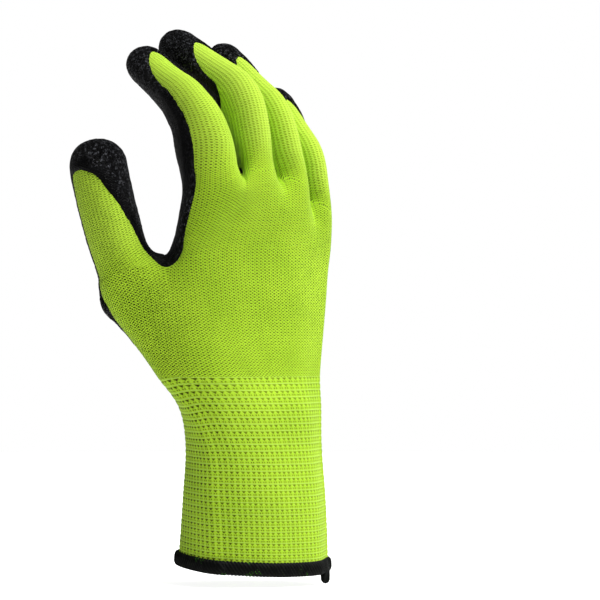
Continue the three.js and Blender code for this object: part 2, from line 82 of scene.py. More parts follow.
def clamp(value: Array | float) -> Array:
    """Values held between 0 and 1."""
    return np.clip(value, 0.0, 1.0)


def smooth(value: Array | float) -> Array:
    """A cubic step: 3t^2 - 2t^3 of the value held between 0 and 1."""
    t = clamp(value)
    return t * t * (3 - 2 * t)


def quarter(value: Array | float) -> Array:
    """A quarter of a circle's rise: the root of 1 - (1 - t)^2."""
    return np.sqrt(1 - (1 - clamp(value)) ** 2)


def curve(xs: Array, ys: Array, at: Array) -> Array:
    """Reads a smooth curve through points, a cubic Hermite with averaged slopes.

    Args:
        xs: Rising places of the points.
        ys: Their values, one row a point; further columns are further curves.
        at: Where to read the curve, held within xs.

    Returns:
        One row for each place read, with the columns of ys.
    """
    xs = np.asarray(xs, float)
    ys = np.asarray(ys, float)
    at = np.clip(np.asarray(at, float), xs[0], xs[-1])
    flat = ys.ndim == 1
    if flat:
        ys = ys[:, None]
    gap = np.diff(xs)[:, None]
    rise = np.diff(ys, axis=0) / gap
    slope = np.concatenate([
        rise[:1],
        (rise[:-1] * gap[1:] + rise[1:] * gap[:-1]) / (gap[1:] + gap[:-1]),
        rise[-1:],
    ])
    i = np.clip(np.searchsorted(xs, at, side="right") - 1, 0, len(xs) - 2)
    w = (xs[i + 1] - xs[i])[:, None]
    t = (at - xs[i])[:, None] / w
    s = 1 - t
    out = (
        (1 + 2 * t) * s * s * ys[i]
        + t * s * s * w * slope[i]
        + t * t * (3 - 2 * t) * ys[i + 1]
        - t * t * s * w * slope[i + 1]
    )
    return out[:, 0] if flat else out


def unit(v: Array) -> Array:
    """Vectors along the last axis, scaled to length 1."""
    return v / np.maximum(np.linalg.norm(v, axis=-1, keepdims=True), 1e-12)


def hash01(a: Array, b: Array, seed: float = 0.0) -> Array:
    """A fixed pseudo-random number from 0 to 1 for each pair of whole numbers."""
    return np.mod(np.sin(a * 12.9898 + b * 78.233 + seed * 37.719) * 43758.5453, 1.0)


def soft_noise(x: Array, y: Array, seed: float = 0.0) -> Array:
    """Value noise from -1 to 1: hashes at whole places, blended with cubic steps."""
    fx, fy = np.floor(x), np.floor(y)
    tx, ty = smooth(x - fx), smooth(y - fy)
    low = hash01(fx, fy, seed) * (1 - tx) + hash01(fx + 1, fy, seed) * tx
    high = hash01(fx, fy + 1, seed) * (1 - tx) + hash01(fx + 1, fy + 1, seed) * tx
    return 2 * (low * (1 - ty) + high * ty) - 1


def row_lengths(points: Array) -> Array:
    """The length up each column of a grid of points from its first row."""
    steps = np.linalg.norm(np.diff(points, axis=0), axis=-1)
    return np.concatenate([np.zeros((1, *steps.shape[1:])), np.cumsum(steps, 0)])


def ring_lengths(points: Array) -> Array:
    """The length along a ring, or along each row of a grid, from its first point."""
    steps = np.linalg.norm(np.diff(points, axis=-2), axis=-1)
    return np.concatenate([np.zeros((*steps.shape[:-1], 1)), np.cumsum(steps, -1)], -1)


def read_line(at: Array, places: Array, points: Array) -> Array:
    """Points of a line at given places, straight between the known ones."""
    return np.stack([np.interp(at, places, points[:, i]) for i in range(3)], -1)


def ring_quads(rows: int, cols: int, loop: bool = False) -> Array:
    """Quads between rings of points, and from the last ring to the first in a loop."""
    ids = np.arange(rows * cols).reshape(rows, cols)
    ahead = np.roll(ids, -1, 0)
    quads = np.stack([ids, ahead, np.roll(ahead, -1, 1), np.roll(ids, -1, 1)], -1)
    return quads[: rows if loop else rows - 1].reshape(-1, 4)


@dataclass(frozen=True)
class Finger:
    """One finger's sizes in millimetres, and how it leans and bends in degrees.

    The lean is to the palm, and side_root and side_tip are the lean to the thumb at both ends.
    A bend is a row of its middle and its run, as shares of the length, and the lean after it.
    """

    length: float
    width: float
    depth: float
    lean: float
    bends: tuple[tuple[float, float, float], tuple[float, float, float]]
    side_root: float
    side_tip: float


@dataclass(frozen=True)
class HandForm:
    """The form of the hand in the glove, in millimetres, as the solids have it."""

    cuff_length: float = 83.0
    thumb_web: float = 138.0
    finger_web: float = 170.0
    cuff_width: float = 66.0
    cuff_depth: float = 59.0
    palm_width: float = 78.0
    palm_depth: float = 27.5
    thumb_length: float = 59.0
    thumb_width: float = 23.8
    thumb_depth: float = 24.4
    hem_rise: float = 6.0
    hem_floor: float = 1.2
    finger_web_run: float = 4.8
    thumb_web_run: float = 13.2
    finger_end: float = 10.6
    thumb_end: float = 12.0
    end_power: float = 2.3
    back_share: float = 0.52
    thumb_drop: float = 0.19
    cuff_strips_end: float = 0.65
    hand_strips_start: float = 1.6
    rise_start: float = 1.56

    # stage thumbX thumbY indexX indexY littleX littleY arch back palm, as shares of the cuff's
    # width and depth up to stage 1 and of the palm's above it
    sections: tuple[tuple[float, ...], ...] = (
        (0.00, -0.500, 0.016, -0.292, 0.000, 0.500, 0.000, 0.00, 0.500, 0.500),
        (0.35, -0.481, 0.033, -0.292, 0.000, 0.494, 0.000, 0.00, 0.459, 0.459),
        (0.65, -0.466, 0.066, -0.292, 0.016, 0.485, 0.000, 0.00, 0.403, 0.403),
        (0.84, -0.476, 0.188, -0.306, 0.082, 0.485, 0.000, 0.02, 0.385, 0.375),
        (1.00, -0.540, 0.352, -0.350, 0.156, 0.500, 0.016, 0.03, 0.352, 0.325),
        (1.19, -0.517, 0.923, -0.334, 0.421, 0.442, 0.070, 0.12, 0.684, 0.590),
        (1.37, -0.582, 1.032, -0.371, 0.491, 0.466, 0.105, 0.18, 0.614, 0.505),
        (1.67, -0.678, 1.190, -0.433, 0.561, 0.507, 0.175, 0.25, 0.561, 0.445),
        (2.00, -0.745, 1.193, -0.485, 0.509, 0.539, 0.211, 0.23, 0.544, 0.428),
        (2.52, -0.730, 1.053, -0.445, 0.281, 0.554, 0.193, 0.18, 0.526, 0.428),
        (3.00, -0.705, 0.702, -0.437, 0.105, 0.559, 0.140, 0.16, 0.509, 0.435),
    )
    # cuff back palm, one row a strip of the hand from the thumb to the little finger
    strips: tuple[tuple[float, ...], ...] = (
        (0.62, 0.85, 0.93),
        (0.92, 1.00, 1.03),
        (1.00, 1.00, 1.00),
        (0.92, 0.94, 1.00),
        (0.62, 0.75, 0.92),
    )
    # across rise backGroove palmGroove, one row a border between strips
    borders: tuple[tuple[float, ...], ...] = (
        (0.000, -0.24, 1.56, 1.25),
        (0.280, 0.09, 2.76, 2.52),
        (0.578, 0.03, 2.52, 2.39),
        (0.804, -0.27, 2.27, 2.21),
        (1.000, -0.60, 3.00, 3.00),
    )
    # along width depth, as shares of a finger's length, width and depth
    finger_form: tuple[tuple[float, ...], ...] = (
        (0.00, 1.00, 1.00),
        (0.25, 0.98, 1.00),
        (0.43, 0.94, 0.87),
        (0.66, 0.88, 0.65),
        (1.00, 0.83, 0.58),
    )
    thumb_form: tuple[tuple[float, ...], ...] = (
        (0.00, 0.98, 1.02),
        (0.30, 1.00, 1.02),
        (0.75, 1.00, 0.97),
        (1.00, 0.95, 0.92),
    )
    # along x y z, as shares of the thumb's length from its root
    thumb_line: tuple[tuple[float, ...], ...] = (
        (0.00, 0.000, 0.000, 0.000),
        (0.23, -0.067, 0.039, 0.212),
        (0.43, -0.109, 0.075, 0.409),
        (0.63, -0.132, 0.124, 0.605),
        (0.82, -0.138, 0.172, 0.792),
        (1.00, -0.135, 0.208, 0.962),
    )
    thumb_root: tuple[float, float, float] = (-0.633, 0.9, 0.937)
    # index, middle, ring and little finger
    fingers: tuple[Finger, ...] = (
        Finger(81.5, 19.8, 26.5, 12, ((0.32, 0.21, 44), (0.51, 0.17, 60)), 1, 1),
        Finger(88.5, 19.4, 25.8, 10, ((0.37, 0.22, 58), (0.64, 0.13, 62)), 1, 7),
        Finger(79.0, 16.2, 24.0, 13, ((0.41, 0.22, 48), (0.69, 0.15, 51)), 3, 9),
        Finger(61.5, 13.4, 19.6, 6, ((0.38, 0.22, 35), (0.67, 0.19, 40)), 1, 7),
    )

    def height_of(self, stage: Array | float) -> Array:
        """Height of a stage: 1 is the cuff's top, 2 the thumb's web, 3 the finger webs."""
        heights = [0, self.cuff_length, self.thumb_web, self.finger_web]
        return np.interp(stage, [0, 1, 2, 3], heights)

    def section_rows(self, heights: Array) -> Array:
        """The section table in millimetres, read at each height: one row a height."""
        rows = np.array(self.sections, float)
        palm = (rows[:, :1] > 1).astype(float)
        width = self.palm_width * palm + self.cuff_width * (1 - palm)
        depth = self.palm_depth * palm + self.cuff_depth * (1 - palm)
        scale = np.hstack([width, depth] * 3 + [depth] * 3)
        return curve(self.height_of(rows[:, 0]), rows[:, 1:] * scale, heights)

    def middle_line(self, section: Array, across: Array) -> tuple[Array, Array]:
        """The hand's middle line at each height, a Catmull-Rom curve through six places.

        Args:
            section: Section rows, one a height.
            across: Places from -1 at the thumb's edge to 4 at the little finger's.

        Returns:
            Points and unit directions, both (heights, places, 2).
        """
        f = np.array([row[0] for row in self.borders])
        x = section[:, 2:3] + (section[:, 4:5] - section[:, 2:3]) * f
        y = section[:, 3:4] + (section[:, 5:6] - section[:, 3:4]) * f
        y = y - section[:, 6:7] * np.sin(np.pi * f)
        points = np.concatenate([section[:, None, 0:2], np.stack([x, y], -1)], 1)
        points = np.concatenate([
            2 * points[:, :1] - points[:, 1:2],
            points,
            2 * points[:, -1:] - points[:, -2:-1],
        ], 1)
        k = np.clip(np.floor(across + 1), 0, 4).astype(int)
        t = (across + 1 - k)[None, :, None]
        a, b, c, d = (points[:, k + j] for j in range(4))
        turn, twist = 2 * a - 5 * b + 4 * c - d, 3 * (b - c) + d - a
        place = b + 0.5 * t * (c - a + t * (turn + t * twist))
        pace = 0.5 * (c - a + t * (2 * turn + 3 * t * twist))
        return place, unit(pace)

    def groove_share(self, side: Side, heights: Array, cell: Array, x: Array) -> Array:
        """What a groove or an outer edge leaves of the hand's depth.

        The depth of a groove grows with the square of the way to its web, and what it leaves
        passes from a full depth to a quarter of an ellipse.

        Args:
            side: Back or palm.
            heights: One a row.
            cell: The strip that each column lies in.
            x: The column's place in its strip, -1 to 1.

        Returns:
            Shares, (heights, columns).
        """
        border = np.where(x < 0, cell, cell + 1)
        inner = (border > -1) & (border < 4)
        row = np.clip(border, 0, 4)
        stage = np.array(self.borders)[row, 2 if side is Side.BACK else 3]
        start = self.height_of(stage)[None]
        web = np.where(border == 0, self.thumb_web, self.finger_web)[None]
        way = clamp((heights[:, None] - start) / np.maximum(web - start, 1e-6)) ** 2
        depth = np.where(inner[None], way, 1.0)
        valley = (1 - depth) * np.sin(np.pi * x / 2)[None] ** 2 + depth * x[None] ** 2
        return np.sqrt(np.clip(1 - depth * valley, 0, 1))

    def columns(self, first: int, steps: int) -> tuple[Array, Array, Array]:
        """Columns from a strip to the last, closer at the strips' borders.

        Returns:
            For each column its place across, its strip and its place in the strip.
        """
        x = -np.cos(np.pi * np.arange(steps) / steps)
        cells = np.repeat(np.arange(first, 4), steps)
        xs = np.concatenate([np.tile(x, 4 - first), [1.0]])
        cells = np.concatenate([cells, [3]])
        return cells + (xs + 1) / 2, cells, xs

    def hand_sheet(self, side: Side, heights: Array, first: int, steps: int) -> Array:
        """The back or the palm of the hand as a grid of points, (heights, columns, 3)."""
        across, cell, x = self.columns(first, steps)
        section = self.section_rows(heights)
        place, way = self.middle_line(section, across)
        strips = np.array(self.strips)
        start = self.height_of(self.cuff_strips_end)
        end = self.height_of(self.hand_strips_start)
        hand = smooth((heights - start) / (end - start))[:, None]
        own = strips[None, :, 1 if side is Side.BACK else 2]
        shares = strips[None, :, 0] + (own - strips[None, :, 0]) * hand
        middles = np.array([-0.5, 0.5, 1.5, 2.5, 3.5])
        out = section[:, 7 if side is Side.BACK else 8][:, None]
        out = out * curve(middles, shares.T, across).T
        out = out * self.groove_share(side, heights, cell, x)
        away = out if side is Side.BACK else -out
        px = place[..., 0] + way[..., 1] * away
        py = place[..., 1] - way[..., 0] * away
        rise = curve(np.arange(5.0), [row[1] for row in self.borders], across)
        rise = rise * (self.finger_web - self.thumb_web)
        begin = self.height_of(self.rise_start)
        lift = smooth((heights - begin) / (self.finger_web - begin))[:, None] * rise[None]
        palm = self.thumb_web - self.cuff_length
        fall = smooth((heights - self.cuff_length) / palm)[:, None]
        drop = np.maximum(0, -across)[None] * self.thumb_drop * palm * fall
        low = clamp(1 - heights / self.cuff_length)[:, None]
        tilt = self.hem_rise * py * low / self.cuff_depth
        return np.stack([px, py, heights[:, None] + lift - drop + tilt], -1)

    def hand_rings(self, heights: Array, first: int, steps: int) -> Array:
        """Closed rings round the hand: along the back, back along the palm, and the start again."""
        back = self.hand_sheet(Side.BACK, heights, first, steps)
        palm = self.hand_sheet(Side.PALM, heights, first, steps)
        return np.concatenate([back, palm[:, -2:0:-1], back[:, :1]], 1)

    def finger_line(self, finger: Finger, root: Array) -> tuple[Array, Array, Array]:
        """A finger's middle line: equal steps that turn to the palm at its two bends.

        Returns:
            The share of the length, the places and the directions.
        """
        parts = 120
        along = np.arange(parts + 1) / parts
        lean = np.full(parts + 1, float(finger.lean))
        before = finger.lean
        for place, run, after in finger.bends:
            lean = lean + smooth((along - place) / run + 0.5) * (after - before)
            before = after
        lean = np.radians(lean)
        side = -np.radians(finger.side_root + (finger.side_tip - finger.side_root) * along)
        way = np.stack([np.sin(side), np.sin(lean) * np.cos(side), np.cos(lean) * np.cos(side)], -1)
        moved = np.cumsum(way[:-1] * finger.length / parts, 0)
        return along, root + np.concatenate([np.zeros((1, 3)), moved]), way

    def thumb_middle(self) -> tuple[Array, Array, Array]:
        """The thumb's middle line, a smooth curve through its table."""
        root = np.array(self.thumb_root) * [self.palm_width, self.palm_depth, self.thumb_web]
        table = np.array(self.thumb_line)
        along = np.linspace(0, 1, 121)
        place = curve(table[:, 0], table[:, 1:], along) * self.thumb_length + root
        ahead = curve(table[:, 0], table[:, 1:], np.minimum(1, along + 1 / 120))
        behind = curve(table[:, 0], table[:, 1:], np.maximum(0, along - 1 / 120))
        return along, place, unit(ahead - behind)

    def grow(
        self,
        base: Array,
        line: tuple[Array, Array, Array],
        runs: Array,
        size: tuple[float, float, float],
        form: tuple[tuple[float, ...], ...],
        ends: tuple[float, float],
        level: bool,
    ) -> Array:
        """Rings from a finger's base to its tip, each a flattened circle round the middle line.

        Near the base a ring still has the hand's own section, which turns into the finger's
        with a quarter circle's rise, as a rounded web. The tip closes as a superellipse.

        Args:
            base: The closed ring that the finger stands on.
            line: Shares, places and directions of the middle line.
            runs: Distances of the rings from the base.
            size: Length, width and depth.
            form: The finger's form table.
            ends: Length of the web's blend and of the rounded tip.
            level: Whether the finger's width turns level along its length.

        Returns:
            Points, (runs, ring, 3).
        """
        length, wide, deep = size
        along, places, ways = line
        steps = (len(base) - 1) // 2
        share = runs / length
        place = read_line(share, along, places)
        way = unit(read_line(share, along, ways))
        across = unit(base[steps] - base[0])[None]
        turn = smooth(runs / wide)[:, None] if level else np.zeros((len(runs), 1))
        side = across * (1 - turn) + np.array([[1.0, 0, 0]]) * turn
        side = unit(side - (side * way).sum(1, keepdims=True) * way)
        out = np.cross(side, way)
        left = clamp((length - runs) / ends[1])
        close = np.clip(1 - (1 - left) ** self.end_power, 0, 1) ** (1 / self.end_power)
        table = np.array(form)
        shape = curve(table[:, 0], table[:, 1:], share)
        width = 0.5 * wide * shape[:, 0] * close
        depth = deep * shape[:, 1] * close
        angle = np.pi * np.arange(2 * steps + 1) / steps
        part = np.where(np.arange(2 * steps + 1) <= steps, self.back_share, 1 - self.back_share)
        high = (np.sin(angle) * part)[None] * depth[:, None]
        target = (
            place[:, None]
            - side[:, None] * (np.cos(angle)[None] * width[:, None])[..., None]
            + out[:, None] * high[..., None]
        )
        own = quarter(runs / ends[0])[:, None, None]
        moved = (place - places[0])[:, None]
        return (base[None] + moved) * (1 - own) + target * own


@dataclass
class Patch:
    """A grid of the glove's skin: closed rings of points, with values at each point.

    Attributes:
        points: Places in millimetres, (rings, round the ring, 3), the first of a ring again
            at its end.
        u: Place round the skin in millimetres, for the stitches.
        v: Place up the skin in millimetres.
        coat: Distance inside the latex's edge, negative outside.
        sheen: 1 where the latex is smooth.
        rib: 1 where the wales stand out, and where the knit is painted lighter as if lit from
            above.
        ease: 1 where the skin is evened in full.
    """

    points: Array
    u: Array
    v: Array
    coat: Array
    sheen: Array
    rib: Array
    ease: Array


def row_runs(length: float, web: float, end: float, pace: float, power: float) -> Array:
    """Distances of rings along a finger: close in the web and the tip, even between them.

    In the web the distance is 1 - cos of an even angle, in the tip a power of its sine.
    """
    root_turn = np.linspace(0, np.pi / 2, max(5, round(web * 1.4 / pace)))
    root = web * (1 - np.cos(root_turn))
    body = np.linspace(web, length - end, max(4, round((length - end - web) / pace)))[1:]
    tip_turn = np.linspace(0, np.pi / 2, max(7, round(end * 1.5 / pace)))[1:]
    tip = length - end + end * np.sin(tip_turn) ** (2 / power)
    return np.concatenate([root, body, tip])


@dataclass(frozen=True)
class Fold:
    """A fold of the knit that lies further aside in the photo than in the solids.

    Attributes:
        by_height: Heights over the fold's middle, and the shift aside there.
        lean: How far the fold leans aside for each millimetre up.
        half_width: The distance aside in which the shift dies away.
        depth: The depth into the view up to which the fold moves in full.
        fade: The distance beyond that depth in which the shift dies away.
    """

    by_height: tuple[tuple[float, float], ...]
    lean: float
    half_width: float
    depth: float
    fade: float

    def shift(self, points: Array, centre: Array) -> Array:
        """How each point near the fold's middle moves, along ASIDE."""
        away = points - centre
        up = away[:, 2]
        along = away @ ASIDE + self.lean * up
        amount = np.interp(up, *np.array(self.by_height).T)
        beyond = np.maximum(away @ DEEP - self.depth, 0)
        near = np.exp(-((along / self.half_width) ** 2) - (beyond / self.fade) ** 2)
        return (amount * near)[:, None] * ASIDE


@dataclass
class Skin:
    """The glove's outer skin as patches that meet point for point."""

    form: HandForm
    steps: int
    pace: float
    foot_drop: float = 0.0
    patches: list[Patch] = field(default_factory=list)

    # between the index and the middle finger, and between the thumb and the hand
    crease: Fold = Fold(
        by_height=(
            (-22, 0),
            (-15, 1.4),
            (-8, 3.4),
            (0, 4.4),
            (6, 4.1),
            (12, 3.2),
            (20, 1.9),
            (28, 0.8),
            (36, 0),
        ),
        lean=0.16,
        half_width=7.5,
        depth=5.0,
        fade=7.0,
    )
    web: Fold = Fold(
        by_height=((-9, 0), (-5, 1.2), (-1, 3.0), (3, 3.2), (8, 2.0), (14, 0.7), (20, 0)),
        lean=-0.3,
        half_width=4.6,
        depth=14.0,
        fade=8.0,
    )
    web_aside: float = 3.2
    # the width of a wale, and how far the webs are evened
    wale: float = 1.95
    reach: float = 4.6
    # where the latex ends at the foot of the palm: across and stage
    coat_foot: tuple[tuple[float, float], ...] = (
        (-1.00, 1.12),
        (-0.85, 1.02),
        (-0.50, 0.94),
        (0.00, 0.89),
        (1.00, 0.86),
        (2.00, 0.84),
        (3.00, 0.82),
        (4.00, 0.87),
    )
    # the latex's radius round the thumb's web, and its middle's way from the web's
    web_collar: float = 9.4
    collar_shift: tuple[float, float, float] = (2.4, -1.8, 0.6)
    # the latex's band on the back along the index, how much wider it starts and over what
    # height, and the width of the index's back at its root
    index_band: float = 8.6
    index_flare: float = 4.0
    index_flare_run: float = 22.0
    index_back: float = 37.7
    # how far before the little finger's side the latex ends
    ulnar_turn: float = 1.2
    # how far before the thumb's side it ends by the wrist, how much further it reaches above,
    # and where that change starts and its height
    inset: float = 0.9
    inset_turn: float = 1.9
    inset_start: float = 100.0
    inset_run: float = 14.0
    # how far the latex bulges to the back at the thumb's root, its height and its half height
    thumb_curl: float = 6.0
    thumb_curl_height: float = 122.0
    thumb_curl_run: float = 7.0
    # the latex's length on the back of each finger and the thumb, from the tip, and how far
    # across the bare part ends there
    caps: tuple[float, ...] = (9.5, 18.0, 14.0, 9.5)
    thumb_cap: float = 14.2
    apex: float = 0.47
    thumb_apex: float = 0.33

    def build(self) -> "Skin":
        """Works out every patch, from the cuff's top up to the finger tips."""
        f = self.form
        foot = f.cuff_length - self.foot_drop
        lower_h = np.linspace(foot, f.thumb_web, round((f.thumb_web - foot) / self.pace))
        upper_count = round((f.finger_web - f.thumb_web) / self.pace)
        upper_h = np.linspace(f.thumb_web, f.finger_web, upper_count)
        lower = f.hand_rings(lower_h, -1, self.steps)
        upper = f.hand_rings(upper_h, 0, self.steps)
        reference = f.hand_rings(np.array([f.height_of(1.6)]), -1, self.steps)[0]
        u_lower = ring_lengths(reference)
        n = self.steps
        back_end = 5 * n
        # the ring over the thumb's web leaves out the thumb's two strips
        u_upper = u_lower[n : back_end + 4 * n + 1]
        v_lower = row_lengths(lower) * 0.9
        around = np.linalg.norm(np.diff(lower, axis=1), axis=2).sum(1)
        narrow = 1 + (around / u_lower[-1] - 1) * smooth((f.thumb_web - lower_h) / 25.0)
        back_mid = u_lower[back_end // 2]
        wide = back_mid + (u_lower - back_mid) * (narrow**0.8)[:, None]
        self.web_point = upper[0, 0]
        self.collar_point = self.web_point + np.array(self.collar_shift)
        self.crease_point = upper[-1, n]
        self.curl_point = lower[np.argmin(np.abs(lower_h - self.thumb_curl_height)), 0]
        self._add_hand(lower, lower_h, -1, wide, v_lower)
        v_base = v_lower[-1, n : back_end + 4 * n + 1].copy()
        v_base[-1] = v_base[0]
        v_upper = row_lengths(upper) + v_base
        self._add_hand(upper, upper_h, 0, u_upper, v_upper)
        for cell, finger in enumerate(f.fingers):
            self._add_finger(finger, cell, upper[-1], u_upper, v_upper[-1])
        self._add_thumb(lower[-1], u_lower, v_lower[-1])
        return self

    def sheet(self) -> "Sheet":
        """The patches as one sheet, evened where the knuckles and the webs stretch it."""
        whole = Sheet.weld(self.build().patches)
        whole.relax(clamp(whole.values["ease"]), self.reach)
        crease = self.crease.shift(whole.points, self.crease_point)
        web = self.web.shift(whole.points, self.web_point + self.web_aside * ASIDE)
        whole.points = whole.points + crease + web
        return whole

    def _slice_ring(self, ring: Array, cell: int, first: int) -> Array:
        """The part of a ring that one finger stands on, closed into a ring of its own."""
        n = self.steps
        start = (cell - first) * n
        back = ring[start : start + n + 1]
        palm_start = (4 - first) * n + (3 - cell) * n
        palm = ring[palm_start + 1 : palm_start + n]
        return np.concatenate([back, palm, back[:1]])

    def _add_hand(self, points: Array, heights: Array, first: int, u: Array, v: Array) -> None:
        """Adds a patch of the hand with its latex field.

        The field is the distance inside the latex's edge: on the palm the least of the height
        over the latex's foot and the way in from both outer edges, and on the back a collar
        round the thumb's web, a bulge at the thumb's root and a band along the index.

        Args:
            points: Closed rings round the hand.
            heights: One a ring.
            first: The strip that the rings start with.
            u: Place round the ring in millimetres, for the stitches.
            v: Place up the hand in millimetres.
        """
        n = self.steps
        count = (4 - first) * n
        across, _, _ = self.form.columns(first, n)
        back = points[:, : count + 1]
        palm = np.concatenate([points[:, count:-1], points[:, :1]], 1)
        palm_across = across[::-1]
        foot = self.form.height_of(np.array([row[1] for row in self.coat_foot]))
        foot = curve([row[0] for row in self.coat_foot], foot, palm_across)
        slope = np.gradient(foot, ring_lengths(palm[len(heights) // 3]) + 1e-9)
        over = (heights[:, None] - foot[None]) / np.sqrt(1 + slope[None] ** 2)
        from_little = ring_lengths(palm)
        from_thumb = from_little[:, -1:] - from_little
        coat_palm = np.minimum(over, from_little - self.ulnar_turn)
        if first < 0:
            turned = smooth((heights - self.inset_start) / self.inset_run)[:, None]
            inset = self.inset - self.inset_turn * turned
            coat_palm = np.minimum(coat_palm, from_thumb - inset)
        back_run = ring_lengths(back)
        to_little = back_run[:, -1:] - back_run
        collar = self.web_collar - np.linalg.norm(back - self.collar_point, axis=2)
        coat_back = np.maximum(-to_little - self.ulnar_turn, collar)
        if first < 0:
            near = np.exp(-(((heights - self.thumb_curl_height) / self.thumb_curl_run) ** 2))
            curl = self.thumb_curl * near[:, None]
            coat_back = np.maximum(coat_back, np.maximum(curl - 0.6, -inset) - back_run)
            coat_palm = np.maximum(coat_palm, curl - from_thumb)
        else:
            started = smooth(1 - (heights - self.form.thumb_web) / self.index_flare_run)
            flare = self.index_flare * started[:, None]
            coat_back = np.maximum(coat_back, self.index_band + flare - back_run)
        coat = np.concatenate([coat_back, coat_palm[:, 1:-1], coat_back[:, :1]], 1)
        sheen = np.zeros_like(coat)
        sheen[:, count + 1 : -1] = smooth(1 - over[:, 1:-1] / 9.0)
        to_web = np.linalg.norm(points - self.web_point, axis=2)
        sheen = np.maximum(sheen, smooth(1 - to_web / 22.0))
        ease = np.exp(-(((self.form.finger_web - heights) / 13.0) ** 2))[:, None]
        ease = np.maximum(ease, smooth(1.5 - to_web / 12.0))
        u = np.broadcast_to(u, coat.shape)
        self.patches.append(Patch(points, u, v, coat, sheen, np.zeros_like(coat), ease))

    def _finger_u(self, points: Array, runs: Array, u: Array, crowd: float) -> Array:
        """Wales on a finger: the hand's at its root, and closer ones of its own further up."""
        hand = u.copy()
        hand[-1] = 2 * hand[-2] - hand[-3]
        own = ring_lengths(points[len(runs) // 2]) * crowd
        own = own + hand[self.steps // 2] - own[self.steps // 2]
        return hand + (own - hand) * smooth(runs / 26.0)[:, None]

    def _finger_field(
        self, points: Array, runs: Array, low: Array, high: Array, apex: float
    ) -> Array:
        """The distance inside the latex's edge on a finger.

        On the back the bare part lies between two shares of the way across, which meet at the
        apex below the tip, and everything on the palm side is coated.

        Args:
            points: The finger's rings.
            runs: Their distances from the root.
            low: The share of the way across the back where the bare part starts.
            high: The share where it ends; over 1 it goes on round the side.
            apex: The distance of the bare part's end from the root.
        """
        n = self.steps
        w = ring_lengths(points[:, : n + 1])
        p = ring_lengths(points[:, n:])
        total = w[:, -1:]
        past = (runs - apex)[:, None]
        coat_back = np.maximum(low[:, None] * total - w, w - high[:, None] * total)
        coat_back = np.maximum(coat_back, past)
        from_far = p + (1 - high)[:, None] * total
        from_near = p[:, -1:] - p + low[:, None] * total
        coat_palm = np.minimum(from_far, from_near)
        coat_palm = np.where(past > 0, np.maximum(coat_palm, past), coat_palm)
        return np.concatenate([coat_back, coat_palm[:, 1:]], 1)

    def _add_finger(self, finger: Finger, cell: int, top: Array, u: Array, v: Array) -> None:
        """Adds one finger's patch, on the hand's top ring and with its stitches going on.

        The index (cell 0) has its latex along the outer side from the root on, and the little
        finger (cell 3) further in on its far side than the two between them, whose sides are
        bare up to about a third of their length.
        """
        f = self.form
        base = self._slice_ring(top, cell, 0)
        root = (base[0] + base[self.steps]) / 2
        runs = row_runs(finger.length, f.finger_web_run, f.finger_end, self.pace, f.end_power)
        points = f.grow(
            base,
            f.finger_line(finger, root),
            runs,
            (finger.length, finger.width, finger.depth),
            f.finger_form,
            (f.finger_web_run, f.finger_end),
            True,
        )
        apex = finger.length - self.caps[cell]
        tau = clamp((apex - runs) / 25.0)
        pull = (1 - tau) ** 2.5
        if cell == 0:
            start = self.index_band / self.index_back
            low0 = curve([0, 12, 28, 45], [start, 0.19, 0.145, 0.135], runs)
        else:
            low0 = 0.27 * smooth((runs - 0.30 * finger.length) / 16.0) - 0.15
        if cell == 3:
            high0 = 0.98 - 0.16 * smooth((runs - (apex - 24.0)) / 20.0)
        else:
            high0 = 1.15 - 0.30 * smooth((runs - 0.34 * finger.length) / 16.0)
        low = low0 + (self.apex - low0) * pull
        high = high0 + (self.apex - high0) * pull
        coat = self._finger_field(points, runs, low, high, apex)
        u_own = self._finger_u(points, runs, self._slice_ring(u, cell, 0), 1.18)
        v_own = row_lengths(points) + self._slice_ring(v, cell, 0)
        place = np.arange(coat.shape[1]) / (2 * self.steps)
        radial = np.minimum(place, 1 - place) * 2
        band = smooth(1 - radial / (0.34 if cell == 0 else 0.3))
        other = smooth(1 - np.abs(place - 0.5) * 2 / 0.24)
        fade = smooth(1 - (runs - 0.45 * finger.length) / (0.3 * finger.length))[:, None]
        sheen = np.maximum(band[None], 0.8 * other[None]) * fade
        # rib also sets how much lighter the finger's knit is painted, as light from above would
        # make it; less on the index
        rib = (0.7 if cell == 0 else 1.0) * smooth(runs / 18.0)[:, None]
        rib = np.broadcast_to(rib, coat.shape)
        ease = np.broadcast_to(np.exp(-((runs / 12.0) ** 2))[:, None], coat.shape)
        self.patches.append(Patch(points, u_own, v_own, coat, sheen, rib, ease))

    def _add_thumb(self, top: Array, u: Array, v: Array) -> None:
        """Adds the thumb's patch, whose bare part narrows evenly from the root to its apex."""
        f = self.form
        base = self._slice_ring(top, -1, -1)
        runs = row_runs(f.thumb_length, f.thumb_web_run, f.thumb_end, self.pace, f.end_power)
        points = f.grow(
            base,
            f.thumb_middle(),
            runs,
            (f.thumb_length, f.thumb_width, f.thumb_depth),
            f.thumb_form,
            (f.thumb_web_run, f.thumb_end),
            False,
        )
        apex = f.thumb_length - self.thumb_cap
        low = 0.03 + 0.09 * clamp((runs - (apex - 6)) / 6.0) ** 2
        ends = [0.86, 0.80, 0.68, 0.56, 0.44, self.thumb_apex]
        high = curve([0, 15, 27, 36, 43, apex], ends, runs)
        coat = self._finger_field(points, runs, low, high, apex)
        to_collar = np.linalg.norm(points - self.collar_point, axis=2)
        coat = np.maximum(coat, self.web_collar - to_collar)
        n = self.steps
        hand_u = self._slice_ring(u, -1, -1)
        hand_u[n + 1 : -1] -= np.round(u[-1] / self.wale) * self.wale
        u_own = self._finger_u(points, runs, hand_u, 1.1)
        v_own = row_lengths(points) * 1.05 + self._slice_ring(v, -1, -1)
        sheen = smooth(1.7 - coat / 4.6)
        # the thumb's knit is painted lighter less than the fingers'
        rib = np.broadcast_to(0.6 * smooth(runs / 18.0)[:, None], coat.shape)
        ease = smooth(1.5 - np.linalg.norm(points - self.web_point, axis=2) / 12.0)
        self.patches.append(Patch(points, u_own, v_own, coat, sheen, rib, ease))


